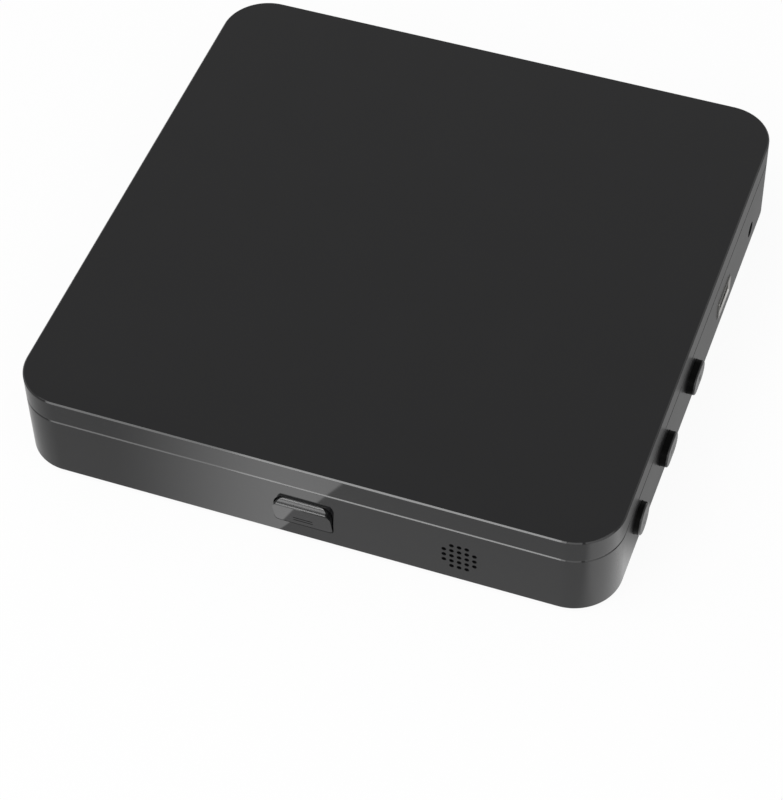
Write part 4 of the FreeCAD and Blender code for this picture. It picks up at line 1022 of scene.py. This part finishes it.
def legged_chips():
    """The memory chips with their bent legs along the two long sides."""
    leg_width, leg_pitch, leg_reach, sheet = 0.35 * mm, 0.8 * mm, 0.7 * mm, 0.15 * mm
    bend_share = 0.45
    end_margin = 0.6 * mm
    chip_rounding = 0.12 * mm
    dot_radius, dot_depth = 0.5 * mm, 0.1 * mm
    dot_place = Vector((2.2 * mm, -1.5 * mm, 0))
    chips = []
    legs = []
    for low, high, spot in boxes("memory_chips"):
        chip = cube("chip", (low.x + leg_reach, low.y, low.z + sheet),
                    (high.x - leg_reach, high.y, high.z))
        edit(chip)
        round_off(chip, lambda edge: True, chip_rounding, 2)
        done()
        dot = drum("dot", dot_radius, Vector((low.x, high.y, high.z)) + dot_place, 2 * dot_depth,
                   vertices=20)
        combine(chip, [dot], "DIFFERENCE")
        chips.append(chip)
        count = int((high.y - low.y - 2 * end_margin) / leg_pitch)
        level = (low.z + high.z) / 2
        for side, edge in ((-1, low.x), (1, high.x)):
            for index in range(count + 1):
                y = spot.y + (index - count / 2) * leg_pitch
                inner = edge - side * leg_reach
                bend = edge - side * bend_share * leg_reach
                for start, end, bottom, top in ((inner, bend, level - sheet, level),
                                                (bend - side * sheet, bend, low.z, level),
                                                (bend, edge, low.z, low.z + sheet)):
                    legs.append(cube("leg", (min(start, end), y - leg_width / 2, bottom),
                                     (max(start, end), y + leg_width / 2, top)))
    settle(joined("memory_chip_legs", legs), "base", "chip_black", "memory_chips",
           finish=finishes["socket_steel"])
    return settle(joined("memory_chip_bodies", chips), "base", "chip_black", "memory_chips")


def usb_port():
    """A folded steel shell with a flared mouth, a tongue and four contacts."""
    low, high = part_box("usb_socket")
    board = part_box("main_board")[1].z
    spot = Vector((0, middle_of("usb_socket").y, usb_z))
    tall, wide, sheet = 2.85 * mm, 6.55 * mm, 0.4 * mm
    flare_depth, flare_reach, flare_foot = 1.5 * mm, 0.7 * mm, 0.3 * mm
    rim, roll, roll_depth = 0.25 * mm, 0.6 * mm, 0.5 * mm
    back = 2 * mm
    shell = rounded_box("usb_shell", (low.x, spot.y - wide, spot.z - tall),
                        (high.x - flare_depth, spot.y + wide, spot.z + tall), 0.5 * mm, "X", 4)
    pick(shell, "faces", facing("X", 1))
    grow = (wide + flare_reach) / wide, (tall + flare_reach) / tall
    for reach, scale_y, scale_z in ((flare_foot, *grow), (flare_depth - flare_foot, 1, 1)):
        bpy.ops.mesh.extrude_region_move(TRANSFORM_OT_translate={"value": (reach, 0, 0)})
        bpy.ops.transform.resize(value=(1, scale_y, scale_z), center_override=spot)
    bpy.ops.mesh.inset(thickness=rim)
    bpy.ops.mesh.inset(thickness=roll)
    bpy.ops.transform.translate(value=(-roll_depth, 0, 0))
    inwards = low.x + back - high.x + roll_depth
    bpy.ops.mesh.extrude_region_move(TRANSFORM_OT_translate={"value": (inwards, 0, 0)})
    done()
    tidy_normals(shell)
    top = spot.z + tall
    stand = cube("stand", (low.x, spot.y - wide + mm, board),
                 (low.x + 9 * mm, spot.y + wide - mm, spot.z - tall + sheet))
    tab_near, tab_far = high.x - flare_depth - 0.18 * mm, high.x - flare_depth - 4 * mm
    tab_pitch, tab_reach, tab_rise = 3 * mm, 0.9 * mm, 0.12 * mm
    tabs = [cube("tab", (tab_near, spot.y + side * tab_pitch - tab_reach, top - sheet / 2),
                 (tab_far, spot.y + side * tab_pitch + tab_reach, top + tab_rise)) for side in (-1, 1)]
    settle(joined("usb_shell", [shell, stand] + tabs), "base", "socket_steel", "usb_socket")
    tongue_low = spot.z + 0.4 * mm
    tongue_end = high.x - 1.5 * mm
    tongue_half, tongue_height = 5.5 * mm, 1.9 * mm
    tongue = cube("usb_tongue", (low.x + mm, spot.y - tongue_half, tongue_low),
                  (tongue_end, spot.y + tongue_half, tongue_low + tongue_height))
    edit(tongue)
    round_off(tongue, at("X", tongue_end), 0.25 * mm, 2)
    done()
    settle(tongue, "base", "socket_steel", "usb_socket", finish=finishes["jack_black"])
    contact_pitch, contact_half = 2.2 * mm, 0.5 * mm
    contacts = []
    for index in range(4):
        y = spot.y + (index - 1.5) * contact_pitch
        contacts.append(cube("contact", (low.x + 2.5 * mm, y - contact_half, tongue_low - 0.12 * mm),
                             (tongue_end - mm, y + contact_half, tongue_low + 0.05 * mm)))
    settle(joined("usb_contacts", contacts), "base", "socket_steel", "usb_socket",
           finish=metal("contact_gold", contact_gold, 0.25))


def dress_sockets():
    """The rear sockets are each one piece in the frame, but of metal and plastic."""
    coax = middle_of("coaxial_jack")
    inlet = middle_of("power_inlet")
    hdmi_low, hdmi_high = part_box("hdmi_socket")

    def coax_metal(x, y, z):
        reach = round_reach(x, z)
        return (reach > coax_insert_radius) * (reach < coax_barrel_radius) * (y > 0)

    def inlet_metal(x, y, z):
        return (round_reach(x, z) < inlet_pin_reach) * (y > 0)

    def hdmi_metal(x, y, z):
        return 1 - inside_box(x, z, hdmi_tongue_reach_x, hdmi_tongue_reach_z)

    for node, metal_part, centre in (
            ("coaxial_jack", coax_metal, (coax.x, rear - wall, coax_z)),
            ("power_inlet", inlet_metal, (inlet.x, rear - inlet_depth, inlet_z)),
            ("hdmi_socket", hdmi_metal, ((hdmi_low.x + hdmi_high.x) / 2, 0,
                                         hdmi_high.z - hdmi_tongue_drop))):
        dress(frame["nodes"][node], two_part_finish(node + "_parts", metal_part, centre))


lid_cover()
base_case()

for node, mark in (("power_button", power_mark), ("play_button", play_mark), ("stop_button", stop_mark)):
    dress(frame["nodes"][node], button_finish(node + "_plastic", node, mark))

dress_sockets()
usb_port()
for node, name, body, slot in (("case_screws", "case_screw_set", "base", "screw_black"),
                               ("deck_screws", "deck_screw_set", "base", "screw_black"),
                               ("board_screws", "board_screw_set", "base", "steel"),
                               ("loader_screws", "loader_screw_set", "base", "steel"),
                               ("lid_screws", "lid_screw_set", "lid", "screw_black")):
    screws(node, name, body, slot)
for corner in ("front_left", "front_right", "rear_left", "rear_right"):
    rubber_foot("foot_" + corner)
tab_springs()
drive_screw()
capacitor_cans()
legged_chips()


# Studio

# Light that the world gives: full near the horizon, softer overhead
horizon_level = 0.9
zenith_level = 0.45
horizon_height = 0.15
zenith_height = 0.5

# What polished faces see in the floor round the case
floor_paint = (0.8, 0.8, 0.8)
floor_glow = 0.94
floor_level = 0.74
left_level = 0.61
beside_level = 0.46
corner_level = 1.25
pool_level = 2.0
pool_start = middle.x - 69.5 * mm
pool_end = middle.x + 2.4 * mm
pool_edge = Vector((middle.x - 10.06 * mm, front, 0))
pool_normal = Vector((0.8858, 0.4641, 0))
pool_blur = 0.4 * mm
pool_slant = 0.52

# Name, place, target, width, height and power of each lamp
lamps = (("key_lamp", (-0.6, -0.5, 1.3), (0, 0, 0.02), 0.9, 0.9, 9.0),
         ("side_lamp", (1.3, -0.6, 0.85), (0, 0, 0.02), 1.4, 1.4, 7.0),
         ("edge_lamp", (-0.22, -1.04, 0.78), (0, -0.1, 0.035), 0.3, 0.3, 1.0),
         ("strip_lamp", (-0.35, -1.02, 0.78), (0, -0.1, 0.035), 0.9, 0.3, 3.0),
         ("fading_lamp", (0.35, -1.02, 0.77), (0.09, -0.1, 0.035), 0.5, 0.3, 0.7))


def floor_finish():
    """Matt white that keeps the shadow, shows white to the camera and a pool of light to gloss."""
    finish = Finish("floor_paint", floor_paint, 0.9, Specular_IOR_Level=0.0)
    rays = finish.node("ShaderNodeLightPath").socket.node.outputs
    x, y = finish.axes()[:2]
    plain = Socket(finish, finish.shader.outputs[0])
    levels = {level: finish.glow("ShaderNodeEmission", level)
              for level in (1.0, left_level, floor_level, beside_level, corner_level, pool_level)}
    offset_x, offset_y = finish.axes(pool_edge)[:2]
    past_edge = offset_x * pool_normal.x + offset_y * pool_normal.y
    slanted = x + (front - y) * pool_slant
    ramp = slanted.between(pool_start, pool_end)
    pool = ramp * (1 - past_edge.between(-pool_blur, pool_blur))
    beside = x.between(right - 6 * mm, right) * y.between(front - 4 * mm, front + 12 * mm)
    to_corner = (x + y - right - front).between(-12 * mm, 3 * mm)
    corner = to_corner * (1 - y.between(front + 22 * mm, front + 38 * mm))
    seen = finish.mixed_shader(ramp, levels[left_level], levels[floor_level])
    for mask, level in ((pool, pool_level), (beside, beside_level), (corner, corner_level)):
        seen = finish.mixed_shader(mask, seen, levels[level])
    shown = finish.mixed_shader(floor_glow, plain, levels[1.0])
    shown = finish.mixed_shader(Socket(finish, rays["Is Camera Ray"]), plain, shown)
    shown = finish.mixed_shader(Socket(finish, rays["Is Glossy Ray"]), shown, seen)
    shown = finish.mixed_shader(Socket(finish, rays["Is Transmission Ray"]), shown, levels[1.0])
    finish.tree.links.new(shown.socket, finish.output.inputs[0])
    return finish


def surroundings():
    """White for the camera. Everything else is lit by a sky that is softer overhead."""
    world = bpy.data.worlds.new("studio")
    bpy.context.scene.world = world
    world.use_nodes = True
    nodes = Nodes(world.node_tree)
    rays = nodes.node("ShaderNodeLightPath").socket.node.outputs
    x, y, z = nodes.parts(nodes.point("Generated"))
    height = (z + 0.1 * x - horizon_height) / (zenith_height - horizon_height)
    height = height.larger(0.0).smaller(1.0)
    kind = "ShaderNodeBackground"
    sky = nodes.mixed_shader(height, nodes.glow(kind, horizon_level), nodes.glow(kind, zenith_level))
    shown = nodes.mixed_shader(Socket(nodes, rays["Is Camera Ray"]), sky, nodes.glow(kind, 1.0))
    shown = nodes.mixed_shader(Socket(nodes, rays["Is Transmission Ray"]), shown, nodes.glow(kind, 1.0))
    nodes.feed(nodes.tree.nodes.new("ShaderNodeOutputWorld").inputs[0], shown)


def studio():
    """A pale floor, a soft white sky and soft lamps."""
    deselect()
    bpy.ops.mesh.primitive_plane_add(size=12, location=(0, 0, 0))
    floor = bpy.context.object
    floor.name = "floor"
    dress(floor, floor_finish())
    surroundings()
    for name, spot, target, width, height, power in lamps:
        data = bpy.data.lights.new(name, "AREA")
        data.shape = "RECTANGLE"
        data.size = width
        data.size_y = height
        data.energy = power
        lamp = bpy.data.objects.new(name, data)
        lamp.location = spot
        lamp.rotation_euler = (Vector(target) - Vector(spot)).to_track_quat("-Z", "Y").to_euler()
        bpy.context.scene.collection.objects.link(lamp)


# The camera stands where the photograph was taken from
camera_place = Vector((middle.x + 0.21347, middle.y - 0.57094, 0.67408))
camera_azimuth = math.radians(21.191)
camera_elevation = math.radians(49.602)
camera_roll = math.radians(-1.779)
lens = 120.02


def camera():
    back = Vector((math.sin(camera_azimuth) * math.cos(camera_elevation),
                   -math.cos(camera_azimuth) * math.cos(camera_elevation), math.sin(camera_elevation)))
    level = Vector((math.cos(camera_azimuth), math.sin(camera_azimuth), 0))
    upright = back.cross(level)
    across = level * math.cos(camera_roll) + upright * math.sin(camera_roll)
    up = upright * math.cos(camera_roll) - level * math.sin(camera_roll)
    data = bpy.data.cameras.new("camera")
    data.lens = lens
    data.sensor_width = 36
    data.clip_start = 0.01
    view = bpy.data.objects.new("camera", data)
    turn = Matrix((across, up, back)).transposed().to_4x4()
    view.matrix_world = Matrix.Translation(camera_place) @ turn
    bpy.context.scene.collection.objects.link(view)
    bpy.context.scene.camera = view


studio()
camera()
bpy.context.scene.view_settings.view_transform = "Standard"
